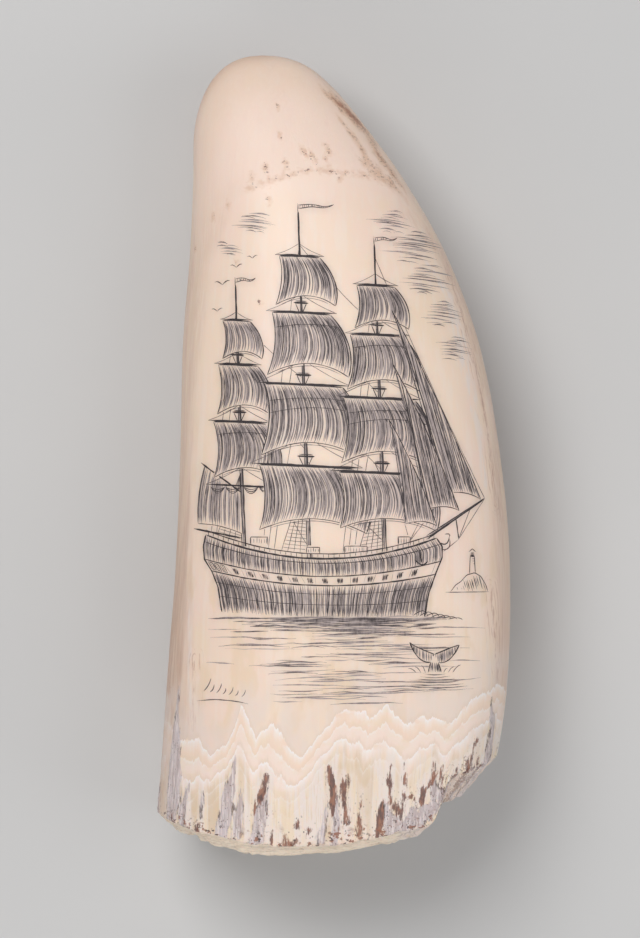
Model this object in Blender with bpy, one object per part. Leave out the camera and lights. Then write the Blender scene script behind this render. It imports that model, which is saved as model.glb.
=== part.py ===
"""A scrimshaw whale tooth, lying on its back with the polished face up.

One closed solid: the curved oval tooth, its broken root rim and the conical pulp cavity in its root.
X runs across the tooth, Y runs along it towards the tip, and Z is up.
The origin is on the floor, in the small worn flat that the tooth rests on.
"""

import math

import bmesh
import bpy

# Driving sizes, in metres
TOOTH_LENGTH = 0.160
TOOTH_WIDTH = 0.0676
TOOTH_DEPTH = 0.0458
RIM_WALL = 0.0068
PULP_DEPTH = 0.060
REST_WEAR = 0.0003
RIM_SAG = 0.0070
RIM_BEVEL = 0.0018
INNER_BEVEL = 0.0012
RIM_WAVE = 0.0004
BREAK_DEPTH = 0.0049
BREAK_BEVEL = 0.0040

# Free form: values at even steps of the square root of the distance from the tip, tip first
HALF_WIDTHS = (0.0, 0.207, 0.367, 0.503, 0.627, 0.754, 0.868, 0.936, 0.982, 0.997, 0.945)
SIDE_SWEEPS = (-0.231, -0.222, -0.209, -0.179, -0.122, -0.068, -0.030, -0.004, 0.005, -0.016, -0.071)
FACE_HEIGHTS = (0.415, 0.546, 0.640, 0.721, 0.793, 0.860, 0.921, 0.967, 0.996, 1.0, 0.961)
BACK_HEIGHTS = (0.415, 0.295, 0.203, 0.131, 0.078, 0.039, 0.014, 0.001, 0.001, 0.018, 0.056)

# The section is an oval, squarer on the polished face, whose face leans a little to the right
FACE_SQUARENESS = 2.45
BACK_SQUARENESS = 2.15
SECTION_LEAN = 0.10
REST_SHARE = 0.575

# How far the root's rim falls short of the tooth's length, as shares of the sag, at even angles round the section
# from its right side over the polished face
RIM_SHORTFALLS = (1.06, 0.93, 0.54, 0.12, 0.15, 0.41, 0.69, 0.60, 0.51, 0.49, 0.60, 0.83)

# The break in the rim: the angles round the section where it starts and ends, and its slopes
BREAK_START = math.radians(56)
BREAK_START_SLOPE = math.radians(6)
BREAK_END = math.radians(-92)
BREAK_END_SLOPE = math.radians(48)
RIM_WAVES = ((5, 1.3, 1.0), (9, 0.4, 0.8), (14, 2.2, 0.6))

# The pulp cavity is a cone with a rounded apex, and the rim's ridge lies part of the way into the wall
PULP_TAPER = 0.62
RIDGE_SHARE = 0.36

# Mesh steps
AROUND = 60
OUTER_ROWS = 36
PULP_ROWS = 11
ROW_POWER = 1.5
RIM_BLEND_START = 0.52


def curve(values, step):
    """A smooth curve through evenly spaced values, read at a step from 0 to 1."""
    last = len(values) - 1
    place = min(max(step, 0.0), 1.0) * last
    i = min(int(place), last - 1)
    f = place - i
    a, b = values[i], values[i + 1]
    before = values[i - 1] if i > 0 else 2 * a - b
    after = values[i + 2] if i + 2 <= last else 2 * b - a
    return 0.5 * (
        2 * a
        + (b - before) * f
        + (2 * before - 5 * a + 4 * b - after) * f**2
        + (3 * a - before - 3 * b + after) * f**3
    )


def smooth(value):
    """0 below 0, 1 above 1, and an even slope between."""
    v = min(max(value, 0.0), 1.0)
    return v * v * (3 - 2 * v)


def signed_power(value, power):
    return math.copysign(abs(value) ** power, value)


def raw_point(distance, angle, share=1.0):
    """A point of the outer surface, or inside it by a share of the section, before the tooth is set down."""
    step = math.sqrt(distance / TOOTH_LENGTH)
    face = curve(FACE_HEIGHTS, step) * TOOTH_DEPTH
    back = curve(BACK_HEIGHTS, step) * TOOTH_DEPTH
    half_depth = (face - back) / 2
    half_width = curve(HALF_WIDTHS, step) * TOOTH_WIDTH / 2
    squareness = FACE_SQUARENESS if math.sin(angle) > 0 else BACK_SQUARENESS
    across = signed_power(math.cos(angle), 2 / squareness) * share
    up = signed_power(math.sin(angle), 2 / squareness) * share
    x = curve(SIDE_SWEEPS, step) * TOOTH_WIDTH + half_width * across + SECTION_LEAN * half_depth * up
    z = (face + back) / 2 + half_depth * up
    return x, z


def section_point(distance, angle, share=1.0):
    """The same point with the worn flat's middle at the origin."""
    rest_x, rest_z = raw_point(REST_SHARE * TOOTH_LENGTH, -math.pi / 2)
    x, z = raw_point(distance, angle, share)
    return x - rest_x, REST_SHARE * TOOTH_LENGTH - distance, z - rest_z - REST_WEAR


def break_share(angle):
    """How much of the break is felt at an angle round the section, from 0 to 1."""
    turned = math.atan2(math.sin(angle), math.cos(angle))
    starts = smooth((BREAK_START - turned) / BREAK_START_SLOPE)
    ends = smooth((turned - BREAK_END) / BREAK_END_SLOPE)
    return starts * ends


def rim_distance(angle):
    """How far from the tip the ridge of the root's rim lies, at an angle round the section."""
    count = len(RIM_SHORTFALLS)
    place = angle / (2 * math.pi) % 1.0 * count
    first = int(place)
    around = [RIM_SHORTFALLS[(first + i) % count] for i in (-1, 0, 1, 2)]
    shortfall = RIM_SAG * curve(around, (1 + place - first) / 3)
    shortfall += BREAK_DEPTH * break_share(angle)
    waves = sum(size * math.sin(times * angle + phase) for times, phase, size in RIM_WAVES)
    crest = sum(size for _, _, size in RIM_WAVES)
    return TOOTH_LENGTH - shortfall - RIM_WAVE * (waves + crest) / 2


def outer_edge_distance(angle):
    """How far from the tip the outer surface ends: the broken rim slopes on from there to its ridge."""
    bevel = RIM_BEVEL * (1 + abs(math.cos(angle))) + BREAK_BEVEL * break_share(angle)
    return rim_distance(angle) - bevel


def outer_distance(row_share, angle):
    """How far from the tip a row of the outer surface lies: even rows that bend to end on the rim."""
    shortfall = TOOTH_LENGTH - outer_edge_distance(angle)
    blend = smooth((row_share - RIM_BLEND_START) / (1 - RIM_BLEND_START))
    return TOOTH_LENGTH * row_share**ROW_POWER - shortfall * blend


def pulp_point(distance, angle):
    """A point of the pulp cavity's wall, at a distance from the tip."""
    depth_share = (distance - TOOTH_LENGTH + PULP_DEPTH) / PULP_DEPTH
    mouth_share = 1 - RIM_WALL / (TOOTH_DEPTH / 2)
    return section_point(distance, angle, mouth_share * max(depth_share, 0.0) ** PULP_TAPER)


def ridge_point(angle):
    outer = section_point(rim_distance(angle), angle)
    inner = pulp_point(rim_distance(angle), angle)
    return tuple(o + (i - o) * RIDGE_SHARE for o, i in zip(outer, inner))


def pulp_distance(row_share, angle):
    """From the rim's inner edge at a share of 0 to the apex at 1."""
    mouth = rim_distance(angle) - INNER_BEVEL
    apex = TOOTH_LENGTH - PULP_DEPTH
    return apex + (mouth - apex) * (1 - row_share) ** ROW_POWER


def add_ring(bm, place):
    angles = [2 * math.pi * i / AROUND for i in range(AROUND)]
    return [bm.verts.new(place(angle)) for angle in angles]


def join_rings(bm, ring, following):
    for i in range(AROUND):
        after = (i + 1) % AROUND
        bm.faces.new((ring[i], following[i], following[after], ring[after]))


def close_ring(bm, pole, ring):
    for i in range(AROUND):
        bm.faces.new((pole, ring[i], ring[(i + 1) % AROUND]))


def wear_rest_flat(bm):
    """Cuts the back off at the floor, which leaves one small flat facet for the tooth to rest on."""
    everything = bm.verts[:] + bm.edges[:] + bm.faces[:]
    cut = bmesh.ops.bisect_plane(
        bm, geom=everything, plane_co=(0, 0, 0), plane_no=(0, 0, -1), clear_outer=True
    )
    outline = [e for e in cut["geom_cut"] if isinstance(e, bmesh.types.BMEdge)]
    bmesh.ops.edgenet_fill(bm, edges=outline)


def ivory():
    material = bpy.data.materials.new("polished_ivory")
    material.use_nodes = True
    shader = material.node_tree.nodes["Principled BSDF"]
    shader.inputs["Base Color"].default_value = (0.84, 0.72, 0.58, 1)
    shader.inputs["Roughness"].default_value = 0.38
    shader.inputs["Metallic"].default_value = 0.0
    return material


def build_tooth():
    bm = bmesh.new()
    rings = []
    for row in range(1, OUTER_ROWS + 1):
        share = row / OUTER_ROWS
        rings.append(add_ring(bm, lambda a, s=share: section_point(outer_distance(s, a), a)))
    rings.append(add_ring(bm, ridge_point))
    for row in range(PULP_ROWS):
        share = row / PULP_ROWS
        rings.append(add_ring(bm, lambda a, s=share: pulp_point(pulp_distance(s, a), a)))
    tip = bm.verts.new(section_point(0.0, 0.0))
    apex = bm.verts.new(pulp_point(TOOTH_LENGTH - PULP_DEPTH, 0.0))
    close_ring(bm, tip, rings[0])
    for ring, following in zip(rings, rings[1:]):
        join_rings(bm, ring, following)
    close_ring(bm, apex, rings[-1])
    bmesh.ops.recalc_face_normals(bm, faces=bm.faces[:])
    wear_rest_flat(bm)
    bmesh.ops.triangulate(bm, faces=bm.faces[:], quad_method="SHORT_EDGE")
    bmesh.ops.recalc_face_normals(bm, faces=bm.faces[:])
    mesh = bpy.data.meshes.new("whale_tooth")
    bm.to_mesh(mesh)
    bm.free()
    mesh.shade_smooth()
    mesh.set_sharp_from_angle(angle=math.radians(38))
    mesh.materials.append(ivory())
    tooth = bpy.data.objects.new("whale_tooth", mesh)
    bpy.context.scene.collection.objects.link(tooth)
    return tooth


def main():
    for old in list(bpy.data.objects):
        bpy.data.objects.remove(old)
    build_tooth()


main()
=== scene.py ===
"""Looks of the scrimshaw whale tooth: the ivory surface, its engraving, the floor, the lights and the camera.

Lengths of the picture and of the tooth's markings are in millimetres, and MM turns them into metres.
X runs across the tooth, Y along it towards the tip, and Z is up, out of the polished face.
"""

import math
import random

import bpy
import numpy as np
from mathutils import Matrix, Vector
from mathutils.bvhtree import BVHTree


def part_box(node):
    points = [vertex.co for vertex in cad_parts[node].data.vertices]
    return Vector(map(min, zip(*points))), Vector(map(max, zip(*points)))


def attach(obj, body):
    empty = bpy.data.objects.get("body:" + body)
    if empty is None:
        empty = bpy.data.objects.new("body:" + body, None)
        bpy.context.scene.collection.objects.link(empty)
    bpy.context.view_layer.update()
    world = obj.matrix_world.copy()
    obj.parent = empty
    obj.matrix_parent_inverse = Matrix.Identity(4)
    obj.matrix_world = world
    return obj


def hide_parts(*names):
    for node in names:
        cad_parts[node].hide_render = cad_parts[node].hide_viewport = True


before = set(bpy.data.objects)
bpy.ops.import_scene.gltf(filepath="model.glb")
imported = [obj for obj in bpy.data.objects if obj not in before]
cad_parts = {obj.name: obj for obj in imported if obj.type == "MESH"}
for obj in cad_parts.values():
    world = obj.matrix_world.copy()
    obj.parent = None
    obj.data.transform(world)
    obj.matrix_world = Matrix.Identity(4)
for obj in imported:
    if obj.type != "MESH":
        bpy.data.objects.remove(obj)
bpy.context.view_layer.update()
low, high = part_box("whale_tooth")

# The tooth's form, as the frame's solid has it: free shapes are shares of the length, width and depth
REST_SHARE = 0.575
TOOTH_LENGTH = high.y / REST_SHARE
TOOTH_WIDTH = 0.9639 * (high.x - low.x)
TOOTH_DEPTH = 1.0029 * (high.z - low.z)
MM = TOOTH_LENGTH / 160
RIM_WALL = 6.8 * MM
PULP_DEPTH = 60 * MM
REST_WEAR = 0.3 * MM
RIM_SAG = 7.0 * MM
RIM_BEVEL = 1.8 * MM
INNER_BEVEL = 1.2 * MM
RIM_WAVE = 0.4 * MM
BREAK_DEPTH = 4.9 * MM
BREAK_BEVEL = 4.0 * MM
HALF_WIDTHS = (0.0, 0.207, 0.367, 0.503, 0.627, 0.754, 0.868, 0.936, 0.982, 0.997, 0.945)
SIDE_SWEEPS = (-0.231, -0.222, -0.209, -0.179, -0.122, -0.068, -0.030, -0.004, 0.005, -0.016, -0.071)
FACE_HEIGHTS = (0.415, 0.546, 0.640, 0.721, 0.793, 0.860, 0.921, 0.967, 0.996, 1.0, 0.961)
BACK_HEIGHTS = (0.415, 0.295, 0.203, 0.131, 0.078, 0.039, 0.014, 0.001, 0.001, 0.018, 0.056)
FACE_SQUARENESS = 2.45
BACK_SQUARENESS = 2.15
SECTION_LEAN = 0.10
RIM_SHORTFALLS = (1.06, 0.93, 0.54, 0.12, 0.15, 0.41, 0.69, 0.60, 0.51, 0.49, 0.60, 0.83)
BREAK_START = math.radians(56)
BREAK_START_SLOPE = math.radians(6)
BREAK_END = math.radians(-92)
BREAK_END_SLOPE = math.radians(48)
RIM_WAVES = ((5, 1.3, 1.0), (9, 0.4, 0.8), (14, 2.2, 0.6))
PULP_TAPER = 0.62
RIDGE_SHARE = 0.36
RIM_BLEND_START = 0.52
ROW_POWER = 1.5

# The fine mesh: more columns on the face than on the back, and closer rows at the tip and at the root
FACE_COLUMNS = 172
BACK_COLUMNS = 88
COLUMNS = FACE_COLUMNS + BACK_COLUMNS
TIP_STEP = 0.25 * MM
FACE_STEP = 0.80 * MM
ROOT_STEP = 0.40 * MM
TIP_END = 22 * MM
ROOT_START = 117 * MM
BROKEN_ROWS = 14
PULP_ROWS = 48
TIPWARD = np.array((0.0, 1.0, 0.0))


def spline(before, a, b, after, f):
    """The smooth curve between a and b, at shares f of the way."""
    return 0.5 * (
        2 * a
        + (b - before) * f
        + (2 * before - 5 * a + 4 * b - after) * f**2
        + (3 * a - before - 3 * b + after) * f**3
    )


def curve(values, step):
    """A smooth curve through evenly spaced values, read at steps from 0 to 1."""
    values = np.asarray(values, float)
    last = len(values) - 1
    place = np.clip(step, 0, 1) * last
    i = np.minimum(place.astype(int), last - 1)
    padded = np.concatenate(([2 * values[0] - values[1]], values, [2 * values[-1] - values[-2]]))
    return spline(padded[i], padded[i + 1], padded[i + 2], padded[i + 3], place - i)


def smooth(value):
    """0 below 0, 1 above 1, and an even slope between."""
    v = np.clip(value, 0, 1)
    return v * v * (3 - 2 * v)


def signed_power(value, power):
    return np.sign(value) * np.abs(value) ** power


def raw_point(distance, angle, share=1.0):
    """A point of the outer surface, or inside it by a share of the section, before the tooth is set down."""
    step = np.sqrt(np.clip(distance, 0, None) / TOOTH_LENGTH)
    face = curve(FACE_HEIGHTS, step) * TOOTH_DEPTH
    back = curve(BACK_HEIGHTS, step) * TOOTH_DEPTH
    half_depth = (face - back) / 2
    half_width = curve(HALF_WIDTHS, step) * TOOTH_WIDTH / 2
    squareness = np.where(np.sin(angle) > 0, FACE_SQUARENESS, BACK_SQUARENESS)
    across = signed_power(np.cos(angle), 2 / squareness) * share
    up = signed_power(np.sin(angle), 2 / squareness) * share
    x = curve(SIDE_SWEEPS, step) * TOOTH_WIDTH + half_width * across + SECTION_LEAN * half_depth * up
    return x, (face + back) / 2 + half_depth * up


def section_point(distance, angle, share=1.0):
    """The same point with the worn flat's middle at the origin, as an array with X, Y and Z last."""
    rest_x, rest_z = raw_point(np.array(REST_SHARE * TOOTH_LENGTH), np.array(-math.pi / 2))
    x, z = raw_point(distance, angle, share)
    y = REST_SHARE * TOOTH_LENGTH - distance + 0 * x
    return np.stack((x - rest_x, y, z - rest_z - REST_WEAR), axis=-1)


def break_share(angle):
    """How much of the break in the rim is felt at an angle round the section, from 0 to 1."""
    turned = np.arctan2(np.sin(angle), np.cos(angle))
    return smooth((BREAK_START - turned) / BREAK_START_SLOPE) * smooth((turned - BREAK_END) / BREAK_END_SLOPE)


def rim_distance(angle):
    """How far from the tip the ridge of the root's rim lies, at an angle round the section."""
    shortfalls = np.asarray(RIM_SHORTFALLS)
    place = angle / (2 * math.pi) % 1.0 * len(shortfalls)
    first = place.astype(int)
    around = [shortfalls[(first + i) % len(shortfalls)] for i in (-1, 0, 1, 2)]
    shortfall = RIM_SAG * spline(*around, place - first) + BREAK_DEPTH * break_share(angle)
    waves = sum(size * (np.sin(times * angle + phase) + 1) for times, phase, size in RIM_WAVES)
    return TOOTH_LENGTH - shortfall - RIM_WAVE * waves / 2


def bent_distance(distance, angle):
    """A row's distance from the tip, bent so that the last row ends on the rim, where its bevel starts."""
    bevel = RIM_BEVEL * (1 + np.abs(np.cos(angle))) + BREAK_BEVEL * break_share(angle)
    row_share = (distance / TOOTH_LENGTH) ** (1 / ROW_POWER)
    blend = smooth((row_share - RIM_BLEND_START) / (1 - RIM_BLEND_START))
    return distance - (TOOTH_LENGTH - rim_distance(angle) + bevel) * blend


def pulp_point(distance, angle):
    """A point of the pulp cavity's wall, at a distance from the tip."""
    depth_share = np.clip((distance - TOOTH_LENGTH + PULP_DEPTH) / PULP_DEPTH, 0, None)
    mouth_share = 1 - RIM_WALL / (TOOTH_DEPTH / 2)
    return section_point(distance, angle, mouth_share * depth_share**PULP_TAPER)


# Noise

def lattice(ix, iy, iz, seed):
    """One number from -1 to 1 for each point of a lattice, the same each run."""
    h = ix * 374761393 + iy * 668265263 + iz * 1442695041 + seed * 974634777
    h = (h ^ (h >> 13)) * 1274126177 & 0x7FFFFFFF
    h = (h ^ (h >> 16)) * 668265263 & 0x7FFFFFFF
    return (h % 65536) / 32767.5 - 1


def value_noise(points, size, seed=0):
    """Smooth noise from -1 to 1 over points, with features of a size or of one size for each axis."""
    p = np.asarray(points, float) / np.asarray(size, float)
    base = np.floor(p).astype(np.int64)
    f = smooth(p - base)
    total = 0
    for corner in range(8):
        c = np.array([corner & 1, corner >> 1 & 1, corner >> 2])
        weight = np.prod(np.where(c, f, 1 - f), axis=-1)
        total = total + weight * lattice(*np.moveaxis(base + c, -1, 0), seed)
    return total


def rough_noise(points, size, octaves, seed=0):
    """Noise with finer noise on it, each octave half the size and half the height of the one before."""
    size = np.asarray(size, float)
    return sum(value_noise(points, size / 2**i, seed + i) / 2**i for i in range(octaves))


# Places on the tooth, in millimetres. The girth is measured on the section at this share of the length, in
# this many fine steps for the face and as many for the back
GIRTH_SHARE = 0.75
HALF_STEPS = 4000


def table_of_columns():
    """The angles of the columns: even steps of arc length on the face, then even steps on the back."""
    fine = np.linspace(0, 2 * math.pi, 2 * HALF_STEPS + 1)
    ring = section_point(np.full_like(fine, GIRTH_SHARE * TOOTH_LENGTH), fine)
    length = np.concatenate(([0], np.cumsum(np.linalg.norm(np.diff(ring, axis=0), axis=1))))
    face = np.linspace(0, length[HALF_STEPS], FACE_COLUMNS + 1)[:-1]
    back = np.linspace(length[HALF_STEPS], length[-1], BACK_COLUMNS + 1)[:-1]
    return np.interp(np.concatenate((face, back)), length, fine), fine, length


COLUMN_ANGLES, FINE_ANGLES, FINE_LENGTHS = table_of_columns()
GIRTH = FINE_LENGTHS[-1] / MM
FACE_MIDDLE = np.interp(math.pi / 2, FINE_ANGLES, FINE_LENGTHS) / MM


def girth_place(angle):
    """How far round the tooth an angle lies, in mm from the middle of the face, positive to the right."""
    place = FACE_MIDDLE - np.interp(angle % (2 * math.pi), FINE_ANGLES, FINE_LENGTHS) / MM
    return np.where(place < -GIRTH / 2, place + GIRTH, place)


def girth_of(x, y):
    """How far round the tooth the point of the face at x and y lies."""
    angles = np.linspace(math.pi, 0, 721)
    ring = section_point(np.full_like(angles, REST_SHARE * TOOTH_LENGTH - y * MM), angles)
    return float(girth_place(np.array(np.interp(x * MM, ring[:, 0], angles))))


# Natural markings of the root, in mm on the face
# The growth lines are rows of x, the upper line's y and the lower line's y
GROWTH_LINES = (
    (-33.5, -40.0, -47.0), (-29.5, -43.5, -51.0), (-27.0, -43.8, -51.8), (-23.5, -47.5, -52.5),
    (-20.0, -44.5, -49.6), (-17.5, -37.8, -45.2), (-14.6, -44.2, -50.8), (-11.7, -40.4, -48.1),
    (-9.2, -44.6, -52.2), (-6.2, -47.6, -53.3), (-2.0, -43.6, -48.8), (1.2, -39.6, -45.2),
    (3.6, -37.9, -44.2), (6.1, -38.4, -44.6), (7.7, -40.6, -47.3), (11.1, -37.6, -44.7),
    (13.4, -40.6, -47.0), (16.4, -41.0, -48.0), (18.4, -39.4, -46.4), (21.0, -40.9, -45.4),
    (24.0, -41.2, -46.9), (27.4, -36.8, -44.0), (30.5, -34.6, -41.0), (33.5, -34.0, -40.0),
)

# Flames, stains and lines are paths of (x, y, half-width), and pits are (x, y, radius)
GREY_FLAMES = (
    ((-29.9, -34.0, 0.2), (-30.4, -42.0, 1.0), (-30.6, -50.0, 2.6), (-30.9, -56.0, 3.1), (-31.4, -60.0, 2.4)),
    ((-27.6, -53.1, 0.1), (-28.5, -56.5, 0.7), (-29.4, -58.8, 1.0), (-29.2, -61.0, 0.8)),
    ((-24.8, -54.0, 0.15), (-25.0, -56.1, 0.5), (-25.2, -58.8, 0.35)),
    ((-18.9, -48.0, 0.1), (-20.0, -53.1, 1.1), (-20.8, -60.0, 1.8), (-22.0, -64.5, 1.2)),
    ((-17.7, -52.8, 0.1), (-17.9, -56.1, 0.5), (-18.2, -60.0, 1.1), (-18.5, -62.6, 1.0)),
    ((-12.3, -52.4, 0.2), (-13.0, -55.4, 0.8), (-13.8, -60.0, 1.5), (-14.7, -64.5, 1.6)),
    ((-0.9, -56.0, 0.3), (-1.4, -60.0, 0.9), (-2.0, -63.6, 1.2)),
    ((1.0, -55.0, 0.4), (1.2, -61.0, 0.9), (0.6, -66.0, 0.8)),
    ((10.9, -56.6, 0.2), (11.8, -60.0, 1.7), (13.0, -61.6, 1.9), (17.0, -59.8, 2.0), (20.5, -57.2, 1.6)),
    ((16.4, -57.0, 0.3), (18.6, -57.6, 1.2)),
    ((20.3, -51.3, 0.5), (20.8, -54.6, 1.1), (23.2, -54.2, 1.7), (26.4, -52.4, 1.6), (28.6, -50.8, 1.3)),
    ((31.6, -36.5, 0.3), (31.8, -42.0, 1.0), (31.2, -48.0, 1.4), (30.2, -51.0, 1.0)),
)
BROWN_STAINS = (
    ((-12.6, -51.4, 0.55), (-13.1, -53.2, 0.75), (-14.2, -56.1, 0.5), (-15.2, -58.6, 0.3)),
    ((-0.6, -50.4, 0.6), (-0.2, -53.2, 1.1), (0.4, -56.9, 0.7), (0.3, -59.6, 0.4)),
    ((3.1, -51.0, 0.4), (3.0, -52.6, 0.8), (2.8, -54.2, 0.4), (3.1, -56.9, 0.5), (3.3, -59.4, 0.6),
     (1.9, -61.2, 0.4)),
    ((6.0, -54.0, 0.2), (5.9, -57.4, 0.3)),
    ((5.4, -58.6, 0.45), (5.4, -61.0, 0.6), (5.3, -63.4, 0.5)),
    ((11.6, -48.8, 0.35), (11.5, -51.6, 0.85), (11.5, -53.9, 0.45), (12.6, -56.9, 0.65), (13.8, -58.8, 0.6),
     (14.0, -60.4, 0.25)),
    ((14.4, -49.4, 0.4), (14.8, -51.2, 0.75), (15.1, -52.8, 0.4)),
    ((14.5, -54.0, 0.3), (14.4, -55.6, 0.45), (14.1, -58.4, 0.45)),
    ((14.6, -55.4, 0.3), (16.1, -56.4, 0.45)),
    ((9.9, -57.4, 0.6), (9.6, -59.4, 1.05), (9.4, -61.9, 0.8), (9.1, -63.9, 0.5)),
    ((18.5, -53.6, 0.7), (17.8, -55.9, 0.75)),
    ((20.1, -48.4, 0.35), (20.5, -50.4, 0.6), (19.6, -52.4, 0.4)),
    ((22.4, -49.4, 0.5), (22.3, -52.0, 0.4), (22.3, -55.4, 0.3)),
    ((25.0, -48.9, 0.55), (24.8, -51.9, 0.4)),
    ((26.8, -48.2, 0.4), (26.9, -51.9, 0.55), (25.8, -53.9, 0.3)),
    ((28.8, -44.5, 0.55), (28.1, -46.5, 0.35), (27.8, -48.2, 0.35), (27.3, -51.4, 0.4)),
    ((28.8, -48.2, 0.4), (28.6, -48.8, 0.4)), ((29.5, -50.2, 0.55), (28.6, -51.2, 0.5)),
    ((-26.2, -60.8, 0.7), (-26.3, -62.2, 0.8)), ((-28.6, -60.0, 0.3), (-28.0, -62.5, 0.4)),
    ((-31.0, -60.0, 0.5), (-30.6, -61.4, 0.7)), ((-12.4, -57.8, 0.15), (-12.4, -59.2, 0.15)),
    ((-11.1, -61.4, 0.15), (-11.5, -63.9, 0.35), (-11.7, -65.4, 0.25)),
    ((-9.0, -62.0, 0.3), (-9.1, -64.4, 0.5), (-7.6, -64.6, 0.6), (-6.1, -64.5, 0.5)),
    ((-6.9, -61.0, 0.45), (-6.8, -62.0, 0.45)), ((-4.5, -61.9, 0.45), (-4.5, -62.3, 0.4)),
)
ROOT_PITS = (
    (-23.0, -61.8, 0.5), (-20.9, -63.1, 0.6), (-19.5, -62.4, 0.5), (-19.0, -63.5, 0.7), (-19.8, -64.3, 0.5),
    (-18.2, -65.0, 0.5), (-15.6, -63.8, 0.6), (-13.9, -65.6, 0.5), (-5.0, -65.6, 0.4), (-3.2, -65.0, 0.7),
    (-0.8, -64.9, 0.7), (-0.6, -63.1, 0.6), (2.0, -63.1, 0.6), (2.2, -64.6, 0.6), (4.6, -64.4, 0.5),
    (-27.0, -61.6, 0.4), (7.0, -64.6, 0.4), (-23.6, -64.2, 0.4),
)

# The tip's brown stains, and the fine pits above the polished face
TIP_STAINS = (
    ((-0.4, 83.4, 0.8), (2.2, 81.4, 2.0), (4.3, 79.5, 2.7), (6.4, 77.4, 2.2), (8.0, 75.0, 1.0)),
    ((2.4, 78.0, 0.1), (4.6, 75.4, 0.3), (6.4, 72.6, 0.5), (7.6, 70.2, 0.5), (9.4, 68.4, 0.3)),
    ((7.8, 74.6, 0.5), (9.7, 71.2, 1.2), (12.2, 68.0, 1.3), (14.0, 65.4, 0.5)),
    ((6.6, 69.6, 0.2), (9.6, 67.8, 0.4), (12.3, 65.8, 0.5), (14.0, 63.8, 0.2)),
)
TIP_PITS = (
    (-12.8, 68.6, 0.9), (-12.2, 66.4, 0.7), (-15.6, 67.2, 0.5), (-15.2, 65.2, 0.5), (-5.2, 71.8, 1.0),
    (-3.6, 71.0, 0.9), (-2.8, 69.8, 0.6), (-0.4, 72.2, 1.1), (-0.9, 70.6, 0.5), (-8.8, 69.4, 0.8),
    (-10.5, 81.0, 0.5), (-10.0, 75.2, 0.5), (-9.8, 74.2, 0.3), (-23.3, 59.4, 0.6), (-27.0, 53.0, 0.7),
    (-14.0, 42.0, 0.4), (-20.2, 61.6, 0.5), (-12.2, 62.4, 0.5), (1.6, 66.6, 0.4), (-18.6, 50.0, 0.4),
)

# Fine reddish lines along the sides of the polished face, and pale streaks there that are a painted
# reflection
RED_LINES = (
    ((23.4, 47.4, 0.1), (25.8, 40.4, 0.3), (27.1, 34.8, 0.2), (29.4, 26.2, 0.4), (31.1, 15.2, 0.2),
     (32.0, 8.0, 0.3), (32.5, 2.5, 0.1)),
    ((31.7, -14.0, 0.1), (32.2, -21.0, 0.35), (32.6, -26.5, 0.2)),
    ((32.6, -27.5, 0.2), (33.1, -32.0, 0.5), (32.6, -37.0, 0.2)),
    ((-26.8, -28.0, 0.1), (-27.1, -37.5, 0.25), (-26.8, -43.0, 0.1)),
    ((-31.8, -35.5, 0.2), (-32.4, -43.0, 0.5), (-32.6, -50.0, 0.2)),
)
PAINTED_REFLECTION_STREAKS = (
    ((19.0, 50.0, 0.6), (23.6, 43.0, 1.4), (24.8, 38.0, 1.8), (27.0, 28.0, 1.9), (29.4, 16.5, 1.2),
     (30.4, 6.0, 0.6)),
    ((31.0, -25.0, 0.2), (31.4, -35.0, 0.5)),
    ((-28.0, -14.0, 0.3), (-27.8, -26.0, 0.8), (-27.6, -38.0, 0.5)),
)

# The polished face: its right and left edges from top to bottom, and the arc that ends it, all as (x, y)
RIGHT_EDGE = (
    (13.8, 59.0), (17.1, 57.0), (21.4, 50.4), (25.1, 40.5), (28.3, 29.8), (30.7, 20.6), (31.8, 8.0),
    (31.9, -8.0), (32.5, -22.0), (32.3, -32.0), (31.4, -41.0), (31.0, -80.0),
)
LEFT_EDGE = (
    (-20.5, 59.0), (-24.0, 50.0), (-25.4, 36.0), (-27.0, 16.0), (-27.6, -10.0), (-28.2, -35.0),
    (-29.0, -80.0),
)
TOP_ARC = (
    (-26.0, 55.0), (-20.1, 62.6), (-16.7, 64.6), (-12.5, 65.9), (-9.1, 67.0), (-6.1, 67.9), (-3.0, 68.4),
    (0.7, 67.9), (6.5, 67.4), (11.3, 66.0), (14.7, 63.1), (17.4, 57.5), (24.0, 45.0),
)
PITTED_ARC = tuple((x, y, 0.25) for x, y in TOP_ARC[2:-3])

# How far in mm the markings' fields reach outside them, and the face's depth on the back
FIELD_REACH = 3.0
OFF_FACE = -6.0


def path_depth(w, y, paths):
    """How deep in mm each place lies in the nearest path: 0 on its edge and below 0 outside."""
    depth = np.full(w.shape, -FIELD_REACH)
    for path in paths:
        for (aw, ay, ar), (bw, by, br) in zip(path, path[1:]):
            dw, dy = bw - aw, by - ay
            off = (w - aw + GIRTH / 2) % GIRTH - GIRTH / 2
            share = np.clip((off * dw + (y - ay) * dy) / (dw * dw + dy * dy), 0, 1)
            away = np.hypot(off - share * dw, y - ay - share * dy)
            depth = np.maximum(depth, ar + (br - ar) * share - away)
    return depth


def on_girth(paths):
    """Paths of the face with the place round the girth in the place of x."""
    return [[(girth_of(x, y), y, r) for x, y, r in path] for path in paths]


def back_paths(seed, count, tops, lengths, widths):
    """Random paths like the face's flames, for the sides and the back, given by places round the girth."""
    rng = random.Random(seed)
    paths = []
    for i in range(count):
        w = GIRTH * (0.22 + 0.56 * (i + rng.uniform(-0.3, 0.3)) / count)
        w = w if w < GIRTH / 2 else w - GIRTH
        top = rng.uniform(*tops)
        end = top - rng.uniform(*lengths)
        width = rng.uniform(*widths)
        lean = rng.uniform(-1.2, 1.2)
        paths.append(((w, top, 0.15), (w + lean / 2, (top + end) / 2, width), (w + lean, end, width * 0.8)))
    return paths


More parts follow.
